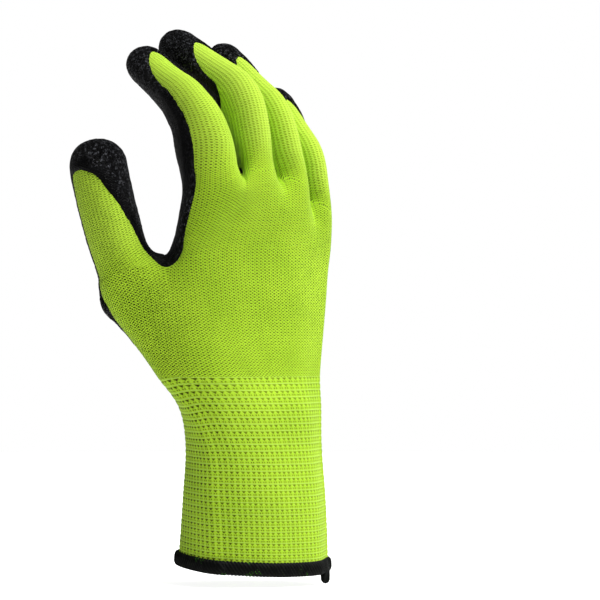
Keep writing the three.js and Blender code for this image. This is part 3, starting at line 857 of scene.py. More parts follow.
@dataclass
class Sheet:
    """Patches welded into one sheet of triangles, with values at points and at corners."""

    points: Array
    triangles: Array
    corner_uv: Array
    values: dict[str, Array]

    @classmethod
    def weld(cls, patches: list[Patch]) -> "Sheet":
        """Joins patches where their points share a place, and cuts each quad into triangles."""
        quads, start = [], 0
        for patch in patches:
            rows, cols = patch.points.shape[:2]
            ids = start + np.arange(rows * cols).reshape(rows, cols)
            corners = [ids[:-1, :-1], ids[:-1, 1:], ids[1:, 1:], ids[1:, :-1]]
            quads.append(np.stack(corners, -1).reshape(-1, 4))
            start += rows * cols
        quads = np.concatenate(quads)
        flat = np.concatenate([patch.points.reshape(-1, 3) for patch in patches])
        values = {
            key: np.concatenate([getattr(patch, key).ravel() for patch in patches])
            for key in ("u", "v", "coat", "sheen", "rib", "ease")
        }
        uv = np.stack([values["u"], values["v"]], -1)
        keys = np.round(flat / 0.002).astype(np.int64)
        _, first, inverse = np.unique(keys, axis=0, return_index=True, return_inverse=True)
        corners = np.concatenate([quads[:, [0, 1, 2]], quads[:, [0, 2, 3]]])
        triangles = inverse.ravel()[corners]
        good = (triangles != np.roll(triangles, -1, 1)).all(1)
        values = {key: value[first] for key, value in values.items()}
        return cls(flat[first], triangles[good], uv[corners[good]], values)

    def sides(self) -> Array:
        """The two ends of each side of each triangle."""
        return np.concatenate([self.triangles[:, [i, (i + 1) % 3]] for i in range(3)])

    def normals(self) -> Array:
        """Unit normals at the points, each triangle counted by its area."""
        a, b, c = (self.points[self.triangles[:, i]] for i in range(3))
        face = np.cross(b - a, c - a)
        total = np.zeros_like(self.points)
        for i in range(3):
            np.add.at(total, self.triangles[:, i], face)
        return unit(total)

    def relax(self, weight: Array, reach: float) -> None:
        """Evens the sheet as stretched cloth would, by repeated averages with the neighbours.

        Each round moves a point half of the way to its neighbours' mean, times its weight, so
        the rounds needed are twice the square of the reach over the mean edge.
        """
        pairs = np.unique(np.sort(self.sides(), 1), axis=0)
        a = np.concatenate([pairs[:, 0], pairs[:, 1]])
        b = np.concatenate([pairs[:, 1], pairs[:, 0]])
        count = np.bincount(a, minlength=len(self.points))[:, None]
        edge = np.median(np.linalg.norm(self.points[a] - self.points[b], axis=1))
        part = 0.5 * weight[:, None]
        for _ in range(math.ceil(2 * (reach / edge) ** 2)):
            total = [np.bincount(a, self.points[b, i], len(self.points)) for i in range(3)]
            self.points = self.points + part * (np.stack(total, -1) / count - self.points)

    def evened(self, value: Array, rounds: int) -> Array:
        """A value at the points, each round half replaced by its neighbours' mean."""
        start, end = self.sides().T
        size = len(value)
        count = np.bincount(start, minlength=size) + np.bincount(end, minlength=size)
        for _ in range(rounds):
            total = np.bincount(start, value[end], size) + np.bincount(end, value[start], size)
            value = 0.5 * value + 0.5 * total / np.maximum(count, 1)
        return value

    def keep(self, chosen: Array) -> "Sheet":
        """The sheet of the chosen triangles alone."""
        triangles = self.triangles[chosen]
        used, inverse = np.unique(triangles, return_inverse=True)
        values = {key: value[used] for key, value in self.values.items()}
        return Sheet(self.points[used], inverse.reshape(-1, 3), self.corner_uv[chosen], values)


def make_object(
    name: str,
    points: Array,
    faces: Array,
    material: bpy.types.Material,
    uv: Array | None = None,
    values: dict[str, Array] | None = None,
) -> bpy.types.Object:
    """Puts arrays into a mesh with foreach_set and makes its object.

    Args:
        name: The piece's name.
        points: Places in millimetres.
        faces: Whole numbers, 3 or 4 a face.
        material: The piece's material.
        uv: Two numbers a corner, in the faces' order.
        values: Further numbers at the points, by attribute name.

    Returns:
        The object, at the origin and unturned.
    """
    count, sides = faces.shape
    mesh = bpy.data.meshes.new(name)
    mesh.vertices.add(len(points))
    mesh.vertices.foreach_set("co", (points * MM).astype(np.float32).ravel())
    mesh.loops.add(count * sides)
    mesh.loops.foreach_set("vertex_index", faces.astype(np.int32).ravel())
    mesh.polygons.add(count)
    mesh.polygons.foreach_set("loop_start", (np.arange(count) * sides).astype(np.int32))
    mesh.polygons.foreach_set("use_smooth", np.ones(count, bool))
    if uv is not None:
        layer = mesh.uv_layers.new(name="UVMap")
        layer.data.foreach_set("uv", uv.astype(np.float32).ravel())
    for key, value in (values or {}).items():
        attribute = mesh.attributes.new(key, "FLOAT", "POINT")
        attribute.data.foreach_set("value", value.astype(np.float32))
    mesh.update(calc_edges=True)
    mesh.validate()
    mesh.materials.append(material)
    piece = bpy.data.objects.new(name, mesh)
    bpy.context.scene.collection.objects.link(piece)
    return piece


def settle(piece: bpy.types.Object, slot: Slot, *nodes: str) -> None:
    """Hangs a piece on the glove's one body, and hides the nodes it stands for."""
    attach(piece, "root")
    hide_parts(*nodes)
    LOG.info("%s: %d faces", piece.name, len(piece.data.polygons))


class Value:
    """A shader socket that can be reckoned with: each sign puts a Math node in the tree."""

    def __init__(self, nodes: "Nodes", socket: bpy.types.NodeSocket) -> None:
        """Wraps an output of a node in the tree that nodes works on."""
        self.nodes = nodes
        self.socket = socket

    def __add__(self, other: object) -> "Value":
        """This value and another added."""
        return self.nodes.math("ADD", self, other)

    def __sub__(self, other: object) -> "Value":
        """This value less another."""
        return self.nodes.math("SUBTRACT", self, other)

    def __rsub__(self, other: object) -> "Value":
        """Another value less this one."""
        return self.nodes.math("SUBTRACT", other, self)

    def __mul__(self, other: object) -> "Value":
        """This value times another."""
        return self.nodes.math("MULTIPLY", self, other)

    def __truediv__(self, other: object) -> "Value":
        """This value divided by another."""
        return self.nodes.math("DIVIDE", self, other)

    def __abs__(self) -> "Value":
        """This value without its sign."""
        return self.nodes.math("ABSOLUTE", self)


class Nodes:
    """A short hand for wiring shader nodes in a tree."""

    def __init__(self, tree: bpy.types.NodeTree) -> None:
        """Works on one node tree."""
        self.tree = tree

    def add(self, kind: str, **settings: object) -> bpy.types.Node:
        """A new node of a kind, with its settings."""
        node = self.tree.nodes.new(kind)
        for key, value in settings.items():
            setattr(node, key, value)
        return node

    def put(self, socket: bpy.types.NodeSocket, value: object) -> None:
        """Gives an input a constant, or joins an output to it."""
        if isinstance(value, Value):
            self.tree.links.new(value.socket, socket)
        else:
            socket.default_value = value

    def math(self, operation: str, *values: object, clamp_it: bool = False) -> Value:
        """A Math node's result."""
        node = self.add("ShaderNodeMath", operation=operation, use_clamp=clamp_it)
        for socket, value in zip(node.inputs, values):
            self.put(socket, value)
        return Value(self, node.outputs[0])

    def ramp(self, value: object, low: float, high: float, *to: float) -> Value:
        """A value moved smoothly from one range to another, 0 to 1 if none is given."""
        node = self.add("ShaderNodeMapRange", interpolation_type="SMOOTHSTEP")
        self.put(node.inputs["Value"], value)
        for key, number in zip(("From Min", "From Max", "To Min", "To Max"), (low, high, *to)):
            node.inputs[key].default_value = number
        return Value(self, node.outputs["Result"])

    def mix(self, factor: object, a: object, b: object) -> Value:
        """Two colours mixed by a factor."""
        node = self.add("ShaderNodeMix", data_type="RGBA")
        for index, value in ((0, factor), (6, a), (7, b)):
            self.put(node.inputs[index], value)
        return Value(self, node.outputs[2])

    def noise(self, place: Value, scale: float, detail: float = 2.0, rough: float = 0.5) -> Value:
        """A noise texture's value."""
        node = self.add("ShaderNodeTexNoise")
        self.put(node.inputs["Vector"], place)
        for key, number in (("Scale", scale), ("Detail", detail), ("Roughness", rough)):
            node.inputs[key].default_value = number
        return Value(self, node.outputs["Fac"])

    def drift(self, place: Value, scale: float, detail: float, amount: float) -> Value:
        """A noise around 0, from minus half the amount to half of it."""
        return (self.noise(place, scale, detail) - 0.5) * amount

    def split(self, vector: Value) -> tuple[Value, Value]:
        """A vector's first two parts."""
        node = self.add("ShaderNodeSeparateXYZ")
        self.put(node.inputs[0], vector)
        return Value(self, node.outputs[0]), Value(self, node.outputs[1])

    def uv(self) -> Value:
        """The mesh's own UV map."""
        return Value(self, self.add("ShaderNodeUVMap", uv_map="UVMap").outputs[0])

    def place(self) -> Value:
        """Object coordinates, in metres."""
        return Value(self, self.add("ShaderNodeTexCoord").outputs["Object"])

    def attribute(self, name: str) -> Value:
        """A number kept at the mesh's points."""
        node = self.add("ShaderNodeAttribute", attribute_name=name)
        return Value(self, node.outputs["Fac"])

    def camera_ray(self) -> Value:
        """1 where the camera sees a thing itself, and 0 in what lights other things."""
        return Value(self, self.add("ShaderNodeLightPath").outputs["Is Camera Ray"])

    def relief(self, height: Value, distance: float, strength: float = 1.0) -> Value:
        """A Bump node's normal, from a height and the distance that 1 stands for."""
        node = self.add("ShaderNodeBump")
        node.inputs["Strength"].default_value = strength
        node.inputs["Distance"].default_value = distance
        self.put(node.inputs["Height"], height)
        return Value(self, node.outputs[0])

    def use(self, group: bpy.types.NodeTree, **inputs: object) -> dict[str, Value]:
        """Places a group with its own values, and gives its outputs by name."""
        node = self.add("ShaderNodeGroup", node_tree=group)
        for key, value in inputs.items():
            self.put(node.inputs[key], value)
        return {socket.name: Value(self, socket) for socket in node.outputs}

    def lit_side(self) -> Value:
        """How much a surface faces the key light, 0 to 1: light fills the knit's gaps there."""
        face = self.add("ShaderNodeVectorMath", operation="DOT_PRODUCT")
        self.put(face.inputs[0], Value(self, self.add("ShaderNodeNewGeometry").outputs["Normal"]))
        face.inputs[1].default_value = (0.38, -0.42, 0.82)
        return self.ramp(Value(self, face.outputs["Value"]), -0.1, 0.95)


class Effect:
    """A shader group with named inputs, while its nodes are wired."""

    def __init__(
        self, name: str, inputs: dict[str, float | None], outputs: tuple[str, ...]
    ) -> None:
        """Opens a group.

        Args:
            name: The group's name.
            inputs: First values by name; None stands for a vector without one.
            outputs: Names of the values that come out.
        """
        self.group = bpy.data.node_groups.new(name, "ShaderNodeTree")
        sockets = self.group.interface
        for key, value in inputs.items():
            kind = "NodeSocketVector" if value is None else "NodeSocketFloat"
            socket = sockets.new_socket(name=key, in_out="INPUT", socket_type=kind)
            if value is not None:
                socket.default_value = value
        for key in outputs:
            sockets.new_socket(name=key, in_out="OUTPUT", socket_type="NodeSocketFloat")
        self.nodes = Nodes(self.group)
        entry = self.nodes.add("NodeGroupInput")
        self.inputs = {key: Value(self.nodes, entry.outputs[key]) for key in inputs}

    def close(self, **outputs: Value) -> bpy.types.NodeTree:
        """Joins the values that come out, and gives the finished group."""
        end = self.nodes.add("NodeGroupOutput")
        for key, value in outputs.items():
            self.nodes.put(end.inputs[key], value)
        return self.group


class Effects:
    """The shader groups that the glove's materials share."""

    def __init__(self) -> None:
        """Builds each group once."""
        self.stitches = self._stitches()
        self.crinkle = self._crinkle()

    def _stitches(self) -> bpy.types.NodeTree:
        """Plain knit: wavy courses with a gap under each loop, from a UV map in millimetres.

        The pattern is cos(b) times the sum of cos(a) and a small lean, where a turns once a wale
        and b once a course: a strong dot at the foot of each loop, and a weaker one between its
        arms. The lean grows with Column, which is 1 where the knit is stretched along a finger,
        so that the weaker dots fade there. The gap mask that comes out is where the knit's
        material paints the shade inside the gaps.
        """
        effect = Effect(
            "knit_stitches",
            {"UV": None, "Wale": 1.95, "Course": 1.18, "Column": 0.0},
            ("Gap", "Rib", "Height"),
        )
        n, given = effect.nodes, effect.inputs
        uv = given["UV"]
        x, y = n.split(uv)
        turn_a = (x + n.drift(uv, 0.16, 2.0, 0.6)) / given["Wale"] * (2 * math.pi)
        turn_b = (y + n.drift(uv, 0.8, 1.0, 0.25)) / given["Course"] * (2 * math.pi)
        loop = n.math("COSINE", turn_a)
        lean = given["Column"] * 0.36 + 0.22
        wave = n.math("COSINE", turn_b) * (loop + lean)
        gap = n.ramp(wave + n.drift(uv, 0.55, 1.0, 0.5), 0.2, 0.65)
        return effect.close(Gap=gap, Rib=n.ramp(loop, -0.2, -0.95), Height=wave * -0.2 - gap)

    def _crinkle(self) -> bpy.types.NodeTree:
        """Crinkled latex, from a place in metres.

        Height is the distance of a noise from its middle, at two sizes, so it falls in narrow
        valleys that run like worms. The sparkle mask, where glints are painted, is 1 in the small
        valleys where a third noise is high, and Glint is a slow noise for tone and roughness.
        """
        effect = Effect(
            "latex_crinkle", {"Vector": None, "Scale": 1.0}, ("Height", "Glint", "Vein")
        )
        n = effect.nodes
        scaled = n.add("ShaderNodeVectorMath", operation="SCALE")
        n.put(scaled.inputs[0], effect.inputs["Vector"])
        n.put(scaled.inputs["Scale"], effect.inputs["Scale"])
        place = Value(n, scaled.outputs[0])
        big = abs(n.noise(place, 420.0, 2.0) - 0.5)
        small = abs(n.noise(place, 900.0, 2.0, 0.6) - 0.5)
        worm = n.math("MULTIPLY", big, 6.0, clamp_it=True)
        worm_small = n.math("MULTIPLY", small, 5.0, clamp_it=True)
        # the mask of painted sparkles, in the small valleys of the crinkle
        sparkle = n.ramp(worm_small, 0.35, 0.1) * n.ramp(n.noise(place, 700.0, 1.0), 0.50, 0.60)
        height = worm * 0.6 + worm_small * 0.4
        return effect.close(Height=height, Glint=n.noise(place, 140.0, 2.0), Vein=sparkle)


def new_material(name: str) -> tuple[bpy.types.Material, Nodes, bpy.types.bpy_prop_collection]:
    """A material with one Principled shader: the material, its nodes and the shader's inputs."""
    material = bpy.data.materials.new(name)
    material.use_nodes = True
    shader = material.node_tree.nodes["Principled BSDF"]
    return material, Nodes(material.node_tree), shader.inputs


@dataclass(frozen=True)
class Yarn:
    """Lime yarn: its tones, its gaps' painted shade and how deep the knit's relief is, in metres.
    """

    light: Colour = (0.480, 0.760, 0.032, 1)
    deep: Colour = (0.400, 0.665, 0.024, 1)
    # painted shade: this dark colour of the knit's gaps stands for the shade inside them
    gap: Colour = (0.060, 0.075, 0.002, 1)
    pale: Colour = (0.600, 0.860, 0.090, 1)
    elastic: Colour = (0.600, 0.780, 0.300, 1)
    depth: float = 0.00030

    def tone(self, n: Nodes, uv: Value, scale: float) -> Value:
        """The yarn's colour, which drifts slowly between its two tones."""
        return n.mix(n.ramp(n.noise(uv, scale, 3.0), 0.25, 0.75), self.deep, self.light)

    def shade(
        self, n: Nodes, shader: bpy.types.bpy_prop_collection, colour: Value, height: Value
    ) -> None:
        """Joins a colour and a relief to the inputs of a matte cloth shader."""
        n.put(shader["Base Color"], colour)
        shader["Roughness"].default_value = 0.85
        shader["Specular IOR Level"].default_value = 0.12
        shader["Sheen Weight"].default_value = 0.06
        shader["Sheen Roughness"].default_value = 0.5
        n.put(shader["Normal"], n.relief(height, self.depth))


@dataclass(frozen=True)
class KnitFinish:
    """Lime plain knit of the hand: matte yarn with painted shade in its gaps, ribbed along the
    fingers.
    """

    yarn: Yarn = Yarn()

    def make(self, effects: Effects) -> bpy.types.Material:
        """Builds the material. The attribute rib is 1 where the wales stand out; there the knit is
        painted lighter too.
        """
        material, n, shader = new_material("lime_plain_knit")
        uv, ribbed = n.uv(), n.attribute("rib")
        stitches = n.use(effects.stitches, UV=uv, Column=ribbed)
        # the pale wales are partly painted light: their mix lightens the whole finger, as light
        # from above would
        rib = (stitches["Rib"] + 1.2) * (ribbed * 0.32)
        colour = n.mix(rib, self.yarn.tone(n, uv, 0.05), self.yarn.pale)
        # painted shade in the knit's gaps, lessened where the surface faces the key light and on
        # the ribbed fingers
        gap_shade_strength = (1.0 - n.lit_side() * 0.36) * (1.0 - ribbed * 0.42)
        colour = n.mix(stitches["Gap"] * gap_shade_strength, colour, self.yarn.gap)
        self.yarn.shade(n, shader, colour, stitches["Height"])
        return material


@dataclass(frozen=True)
class CuffFinish:
    """Lime ribbed knit of the cuff: thin elastic threads, with painted shade in the gaps hanging
    below each.
    """

    yarn: Yarn = Yarn()

    def make(self) -> bpy.types.Material:
        """Builds the material. The UV map holds stitches across and elastic courses up.

        In a cell the elastic thread lies at its top and foot, a wedge of painted shade hangs from
        the top with its point down, and a pair of small gaps with painted shade lies side by side
        below the wedge.
        """
        material, n, shader = new_material("lime_elastic_knit")
        uv = n.uv()
        x, y = n.split(uv)
        wobble = n.drift(uv, 0.5, 2.0, 0.22)
        row = n.math("FRACT", y + wobble * 0.4)
        aside = abs(n.math("FRACT", x + wobble) - 0.5)
        line = n.ramp(abs(row - 0.5), 0.39, 0.48)
        wedge = n.ramp(aside - (row - 0.46), -0.12, 0.08, 1.0, 0.0)
        wedge = wedge * n.ramp(row, 0.80, 0.90, 1.0, 0.0)
        pair_x, pair_y = (aside - 0.19) / 0.14, (row - 0.29) / 0.13
        far = n.math("SQRT", pair_x * pair_x + pair_y * pair_y)
        pair = n.ramp(far, 0.35, 1.15, 1.0, 0.0)
        gap = n.math("MAXIMUM", wedge, pair * 0.85)
        gap = gap * n.ramp(n.noise(uv, 0.9, 1.0), 0.25, 0.75, 0.8, 1.15)
        post = n.ramp(aside, 0.34, 0.48)
        colour = n.mix(post * 0.22, self.yarn.tone(n, uv, 0.08), self.yarn.pale)
        # painted shade in the wedges and gap pairs under each elastic thread, half as dark where
        # the surface faces the key light
        colour = n.mix(gap * (1.0 - n.lit_side() * 0.5), colour, self.yarn.gap)
        broken = n.ramp(n.noise(uv, 2.3, 1.0), 0.25, 0.55, 0.35, 1.0)
        colour = n.mix(line * broken * 0.25, colour, self.yarn.elastic)
        self.yarn.shade(n, shader, colour, line * 0.25 - gap)
        return material


@dataclass(frozen=True)
class LatexFinish:
    """Black latex: crinkled with painted glints where it is thick, and smooth satin along its
    bands.
    """

    black: Colour = (0.0022, 0.0022, 0.0024, 1)
    bloom: Colour = (0.0035, 0.0036, 0.0042, 1)
    # painted glints: a grey for the crinkles' raised parts and a brighter grey for sparkles
    speck_and_glint: Colour = (0.016, 0.017, 0.020, 1)
    spark: Colour = (0.085, 0.088, 0.098, 1)

    def make(self, effects: Effects) -> bpy.types.Material:
        """Builds the material. The attribute sheen is 1 where the latex is smooth."""
        material, n, shader = new_material("black_crinkled_latex")
        even = n.attribute("sheen")
        crinkle = n.use(effects.crinkle, Vector=n.place(), Scale=1.0)
        stitches = n.use(effects.stitches, UV=n.uv())
        glint = crinkle["Glint"]
        coarse = n.math("SUBTRACT", 1.0, even, clamp_it=True)
        # painted glints: a lighter grey on the crinkles' raised parts
        speck_and_glint = n.ramp(crinkle["Height"], 0.62, 0.95) * coarse
        colour = n.mix(n.ramp(glint, 0.35, 0.7), self.black, self.bloom)
        colour = n.mix(speck_and_glint * 0.35, colour, self.speck_and_glint)
        # painted sparkles in the crinkles' small valleys
        colour = n.mix(crinkle["Vein"] * coarse, colour, self.spark)
        n.put(shader["Base Color"], colour)
        n.put(shader["Roughness"], n.ramp(glint, 0.3, 0.7, 0.26, 0.40))
        shader["Specular IOR Level"].default_value = 0.06
        faint = stitches["Height"] * (even * 0.16 + 0.06)
        height = crinkle["Height"] * (coarse * 0.94 + 0.06) + faint
        n.put(shader["Normal"], n.relief(height, 0.0016))
        return material


@dataclass(frozen=True)
class ThreadFinish:
    """Black overlock thread, with specks of lime yarn between the wraps and painted highlights on
    their tops.
    """

    black: Colour = (0.0020, 0.0024, 0.0022, 1)
    # painted highlight on the tops of the wraps
    ridge_highlight: Colour = (0.0130, 0.0145, 0.0125, 1)
    lime: Colour = (0.10, 0.45, 0.02, 1)

    def make(self) -> bpy.types.Material:
        """Builds the material. The attribute groove is 1 between two wraps."""
        material, n, shader = new_material("black_overlock_thread")
        place, groove = n.place(), n.attribute("groove")
        speck_and_glint = n.ramp(n.noise(place, 150.0, 1.0), 0.60, 0.66) * n.ramp(groove, 0.62, 0.85)
        # painted highlight: a lighter grey on the wraps' tops, where the groove is low
        ridge_highlight = n.ramp(n.noise(place, 300.0, 3.0), 0.3, 0.75) * n.ramp(groove, 0.45, 0.05)
        colour = n.mix(speck_and_glint, n.mix(ridge_highlight, self.black, self.ridge_highlight), self.lime)
        n.put(shader["Base Color"], colour)
        shader["Roughness"].default_value = 0.5
        shader["Specular IOR Level"].default_value = 0.07
        n.put(shader["Normal"], n.relief(n.noise(place, 2600.0, 2.0), 0.00012, 0.6))
        return material


@dataclass
class KnitHand:
    """The lime knit from the cuff's top to the finger tips, with its inner side."""

    form: HandForm
    wall: float = 1.1
    steps: int = 30
    pace: float = 1.0

    def build(self, finish: bpy.types.Material) -> bpy.types.Object:
        """Makes the outer side, and an inner side of half as many points."""
        outer = Skin(self.form, self.steps, self.pace).sheet()
        inner = Skin(self.form, self.steps // 2, self.pace * 2.2).sheet()
        inside = inner.points - inner.normals() * self.wall
        points = np.concatenate([outer.points, inside])
        flipped = inner.triangles[:, ::-1] + len(outer.points)
        faces = np.concatenate([outer.triangles, flipped])
        uv = np.concatenate([outer.corner_uv, inner.corner_uv[:, ::-1]])
        rib = np.concatenate([outer.values["rib"], inner.values["rib"]])
        piece = make_object("lime_hand", points, faces, finish, uv, {"rib": rib})
        tubes = ("palm", "knuckles", "index", "middle", "ring", "little", "thumb")
        settle(piece, Slot.KNIT, *(f"knit_{tube}" for tube in tubes))
        return piece


@dataclass
class KnitCuff:
    """The ribbed cuff: a tube whose knit swells between its elastic threads."""

    form: HandForm
    wall: float = 1.1
    steps: int = 34
    rows: int = 200
    swell: float = 0.22
    stitch: float = 2.42
    # every so many rings of the outer side has one on the inner side
    inner_step: int = 4
    # how often the rings are evened round the thumb's side, how far across and below the top
    even_rounds: int = 170
    even_width: float = 0.65
    even_height: float = 8.0
    # how many courses the knit sags at the thumb's edge, and over what heights that grows
    slack: float = 1.8
    slack_start: float = 40.0
    slack_run: float = 35.0

    def courses(self, heights: Array) -> Array:
        """How many elastic threads lie below each height: closer at the foot than at the top."""
        h = np.linspace(0, self.form.cuff_length + 12, 460)
        pace = 2.3 + 0.55 * smooth((h - 8) / 48.0)
        count = np.concatenate([[0], np.cumsum(np.diff(h) / pace[1:])])
        return np.interp(heights, h, count)

    def build(self, finish: bpy.types.Material) -> bpy.types.Object:
        """Makes the tube with ribs in its outer side and a plain inner side.

        Its courses are counted from the top, where one of them ends at the hand's knit.
        """
        f = self.form
        heights = np.linspace(f.hem_floor, f.cuff_length, self.rows)
        rings = f.hand_rings(heights, -1, self.steps)
        evened = rings[:, :-1]
        for _ in range(self.even_rounds):
            evened = 0.5 * evened + 0.25 * (np.roll(evened, 1, 1) + np.roll(evened, -1, 1))
        evened = np.concatenate([evened, evened[:, :1]], 1)
        across, _, _ = f.columns(-1, self.steps)
        edge = np.concatenate([across, across[-2:0:-1], across[:1]])
        share = smooth((f.cuff_length - heights) / self.even_height)[:, None]
        share = share * np.exp(-((edge / self.even_width) ** 2))[None]
        rings = rings + (evened - rings) * share[..., None]
        slack = self.slack * smooth((-edge - 0.2) / 0.8)[None]
        slack = slack * smooth((heights - self.slack_start) / self.slack_run)[:, None]
        top = self.courses(np.array([f.cuff_length]))[0]
        course = self.courses(heights[:, None] + slack) - top
        u = np.broadcast_to(ring_lengths(rings[self.rows // 2]) / self.stitch, course.shape)
        u = np.round(u[0, -1]) / u[0, -1] * u
        normals = self._grid_normals(rings)
        phase = course - np.floor(course)
        rib = self.swell * (np.sin(np.pi * phase) ** 0.8 - 0.6)
        fade = smooth((heights - f.hem_floor) / 3.0) * smooth((f.cuff_length - heights) / 1.5)
        outer = rings + normals * (rib * fade[:, None])[..., None]
        kept = np.unique(np.r_[0 : self.rows : self.inner_step, self.rows - 1])[::-1]
        shell = np.concatenate([(rings - normals * self.wall)[kept], outer])
        full_u = np.concatenate([u[kept], u])
        full_v = np.concatenate([course[kept], course])
        points, faces, corners = self._closed_loop(shell)
        uv = np.stack([full_u.ravel(), full_v.ravel()], -1)[corners]
        piece = make_object("lime_cuff", points, faces, finish, uv)
        settle(piece, Slot.KNIT, "knit_wrist")
        return piece

    @staticmethod
    def _grid_normals(rings: Array) -> Array:
        """Outward normals of closed rings: the cross of the way round and the way up."""
        body = rings[:, :-1]
        around = np.roll(body, -1, 1) - np.roll(body, 1, 1)
        up = np.gradient(body, axis=0)
        normal = unit(np.cross(around, up))
        return np.concatenate([normal, normal[:, :1]], 1)

    @staticmethod
    def _closed_loop(shell: Array) -> tuple[Array, Array, Array]:
        """Quads of rings joined in order and the last to the first, welded round each ring.

        Returns:
            Points, quads, and for each quad's corner its index in the unwelded grid.
        """
        rows, cols, _ = shell.shape
        ids = np.arange(rows * cols).reshape(rows, cols)
        ahead = np.roll(ids, -1, 0)
        quads = np.stack([ids[:, :-1], ids[:, 1:], ahead[:, 1:], ahead[:, :-1]], -1)
        quads = quads.reshape(-1, 4)
        welded = (ids // cols) * (cols - 1) + (ids % cols) % (cols - 1)
        return shell[:, :-1].reshape(-1, 3), welded.ravel()[quads], quads


@dataclass
class LatexCoat:
    """The latex: a sheet that lies on the knit and sinks into it at a ragged edge.

    Attributes:
        form: The hand's form.
        thickness: How high the latex stands over the knit.
        sink: How deep its edge lies in the knit.
        plunge: How much deeper its hidden border goes, so that it never shows.
        border: How far the sheet goes on past its edge.
        slope: The distance in which it rises from its edge.
        over_cuff: How far the sheet's skin starts below the cuff's top.
        edge_rounds: How often the edge's distance is averaged, which rounds its corners.
        swell: How much thicker it is at the thumb's web and root.
        steps: Columns of the skin in a strip.
        pace: Distance of the skin's rings.
    """

    form: HandForm
    thickness: float = 0.95
    sink: float = 0.35
    plunge: float = 0.6
    border: float = 1.1
    slope: float = 2.4
    over_cuff: float = 16.0
    edge_rounds: int = 30
    swell: float = 1.5
    steps: int = 44
    pace: float = 0.68

    def build(self, finish: bpy.types.Material) -> bpy.types.Object:
        """Raises the coated part of the skin by a profile of its distance from the edge."""
        maker = Skin(self.form, self.steps, self.pace, self.over_cuff)
        skin = maker.sheet()
        u, v, sheen = (skin.values[key] for key in ("u", "v", "sheen"))
        to_web = np.linalg.norm(skin.points - maker.web_point, axis=1)
        to_curl = np.linalg.norm(skin.points - maker.curl_point, axis=1)
        extra = self.swell * (np.exp(-((to_web / 4.5) ** 2)) + np.exp(-((to_curl / 6.5) ** 2)))
        stitch = hash01(np.floor(u / 2.07), np.floor(v / 1.06), 3.0) - 0.5
        ragged = 0.4 * stitch + 0.2 * soft_noise(u / 4.0, v / 4.0, 1.0)
        inside = skin.evened(skin.values["coat"], self.edge_rounds) + ragged
        lump = soft_noise(u / 1.9, v / 1.9, 7.0) + soft_noise(u / 4.1, v / 4.1, 9.0)
        lump = lump * 0.08 * (1 - 0.85 * clamp(sheen)) * smooth(inside / 3.0)
        full = self.thickness + self.sink + extra
        raised = full * smooth(inside / self.slope) + lump - self.sink
        raised = np.where(inside < 0, -self.sink - self.plunge * clamp(-inside), raised)
        skin.points = skin.points + skin.normals() * raised[:, None]
        sheet = skin.keep((inside > -self.border)[skin.triangles].any(1))
        sheen = {"sheen": sheet.values["sheen"]}
        piece = make_object(
            "latex_palm", sheet.points, sheet.triangles, finish, sheet.corner_uv, sheen
        )
        settle(piece, Slot.LATEX, "latex_coating")
        return piece


@dataclass
class HemBinding:
    """The overlocked hem: a band folded round the knit's foot, wrapped in slanting thread."""

    form: HandForm
    height: float = 5.0
    wrap: float = 1.6
    ridge: float = 0.7
    slant: float = 1.5
    uneven: float = 0.22
    out: float = 1.45
    inside: float = 2.5
    power: float = 2 / 2.6
    around: int = 1560
    section: int = 26

    def build(self, finish: bpy.types.Material) -> bpy.types.Object:
        """Carries an oval section along the cuff's foot, with a ridge for each wrap.

        The section is a superellipse between the band's foot and top; a wrap's height is the
        root of the sine of its phase, which runs along the hem and, slanting, round the oval.
        """
        f = self.form
        rings = f.hand_rings(np.array([f.hem_floor, 0.5 * self.height, self.height]), -1, 40)
        length = ring_lengths(rings[1])
        place = np.linspace(0, length[-1], self.around + 1)[:-1]
        foot, middle, top = (read_line(place, length, ring) for ring in rings)
        around = unit(np.roll(middle, -1, 0) - np.roll(middle, 1, 0))
        up = unit(top - foot)
        away = unit(np.cross(around, up))
        angle = np.linspace(0, 2 * np.pi, self.section + 1)[:-1]
        sx, sz = (
            np.sign(side) * np.abs(side) ** self.power for side in (np.cos(angle), np.sin(angle))
        )
        half_x = (self.out + self.inside) / 2
        centre_x = (self.out - self.inside) / 2
        low, high = -f.hem_floor - 1.0, self.height - f.hem_floor + 0.2
        half_z, centre_z = (high - low) / 2, (high + low) / 2
        count = round(length[-1] / self.wrap)
        phase = place[:, None] / length[-1] * count + self.slant * np.sin(angle)[None]
        wave = np.abs(np.sin(np.pi * phase))
        ridge = self.ridge * (np.sqrt(wave) - 0.75)
        uneven = self.uneven * soft_noise(place / 4.0, place * 0, 5.0)[:, None]
        x = centre_x + (half_x + ridge + uneven) * sx[None]
        z = centre_z + (half_z + ridge) * sz[None]
        points = foot[:, None] + away[:, None] * x[..., None] + up[:, None] * z[..., None]
        faces = ring_quads(self.around, self.section, loop=True)
        groove = {"groove": 1 - wave.ravel()}
        piece = make_object("hem_overlock", points.reshape(-1, 3), faces, finish, None, groove)
        settle(piece, Slot.THREAD, "hem_binding")
        return piece


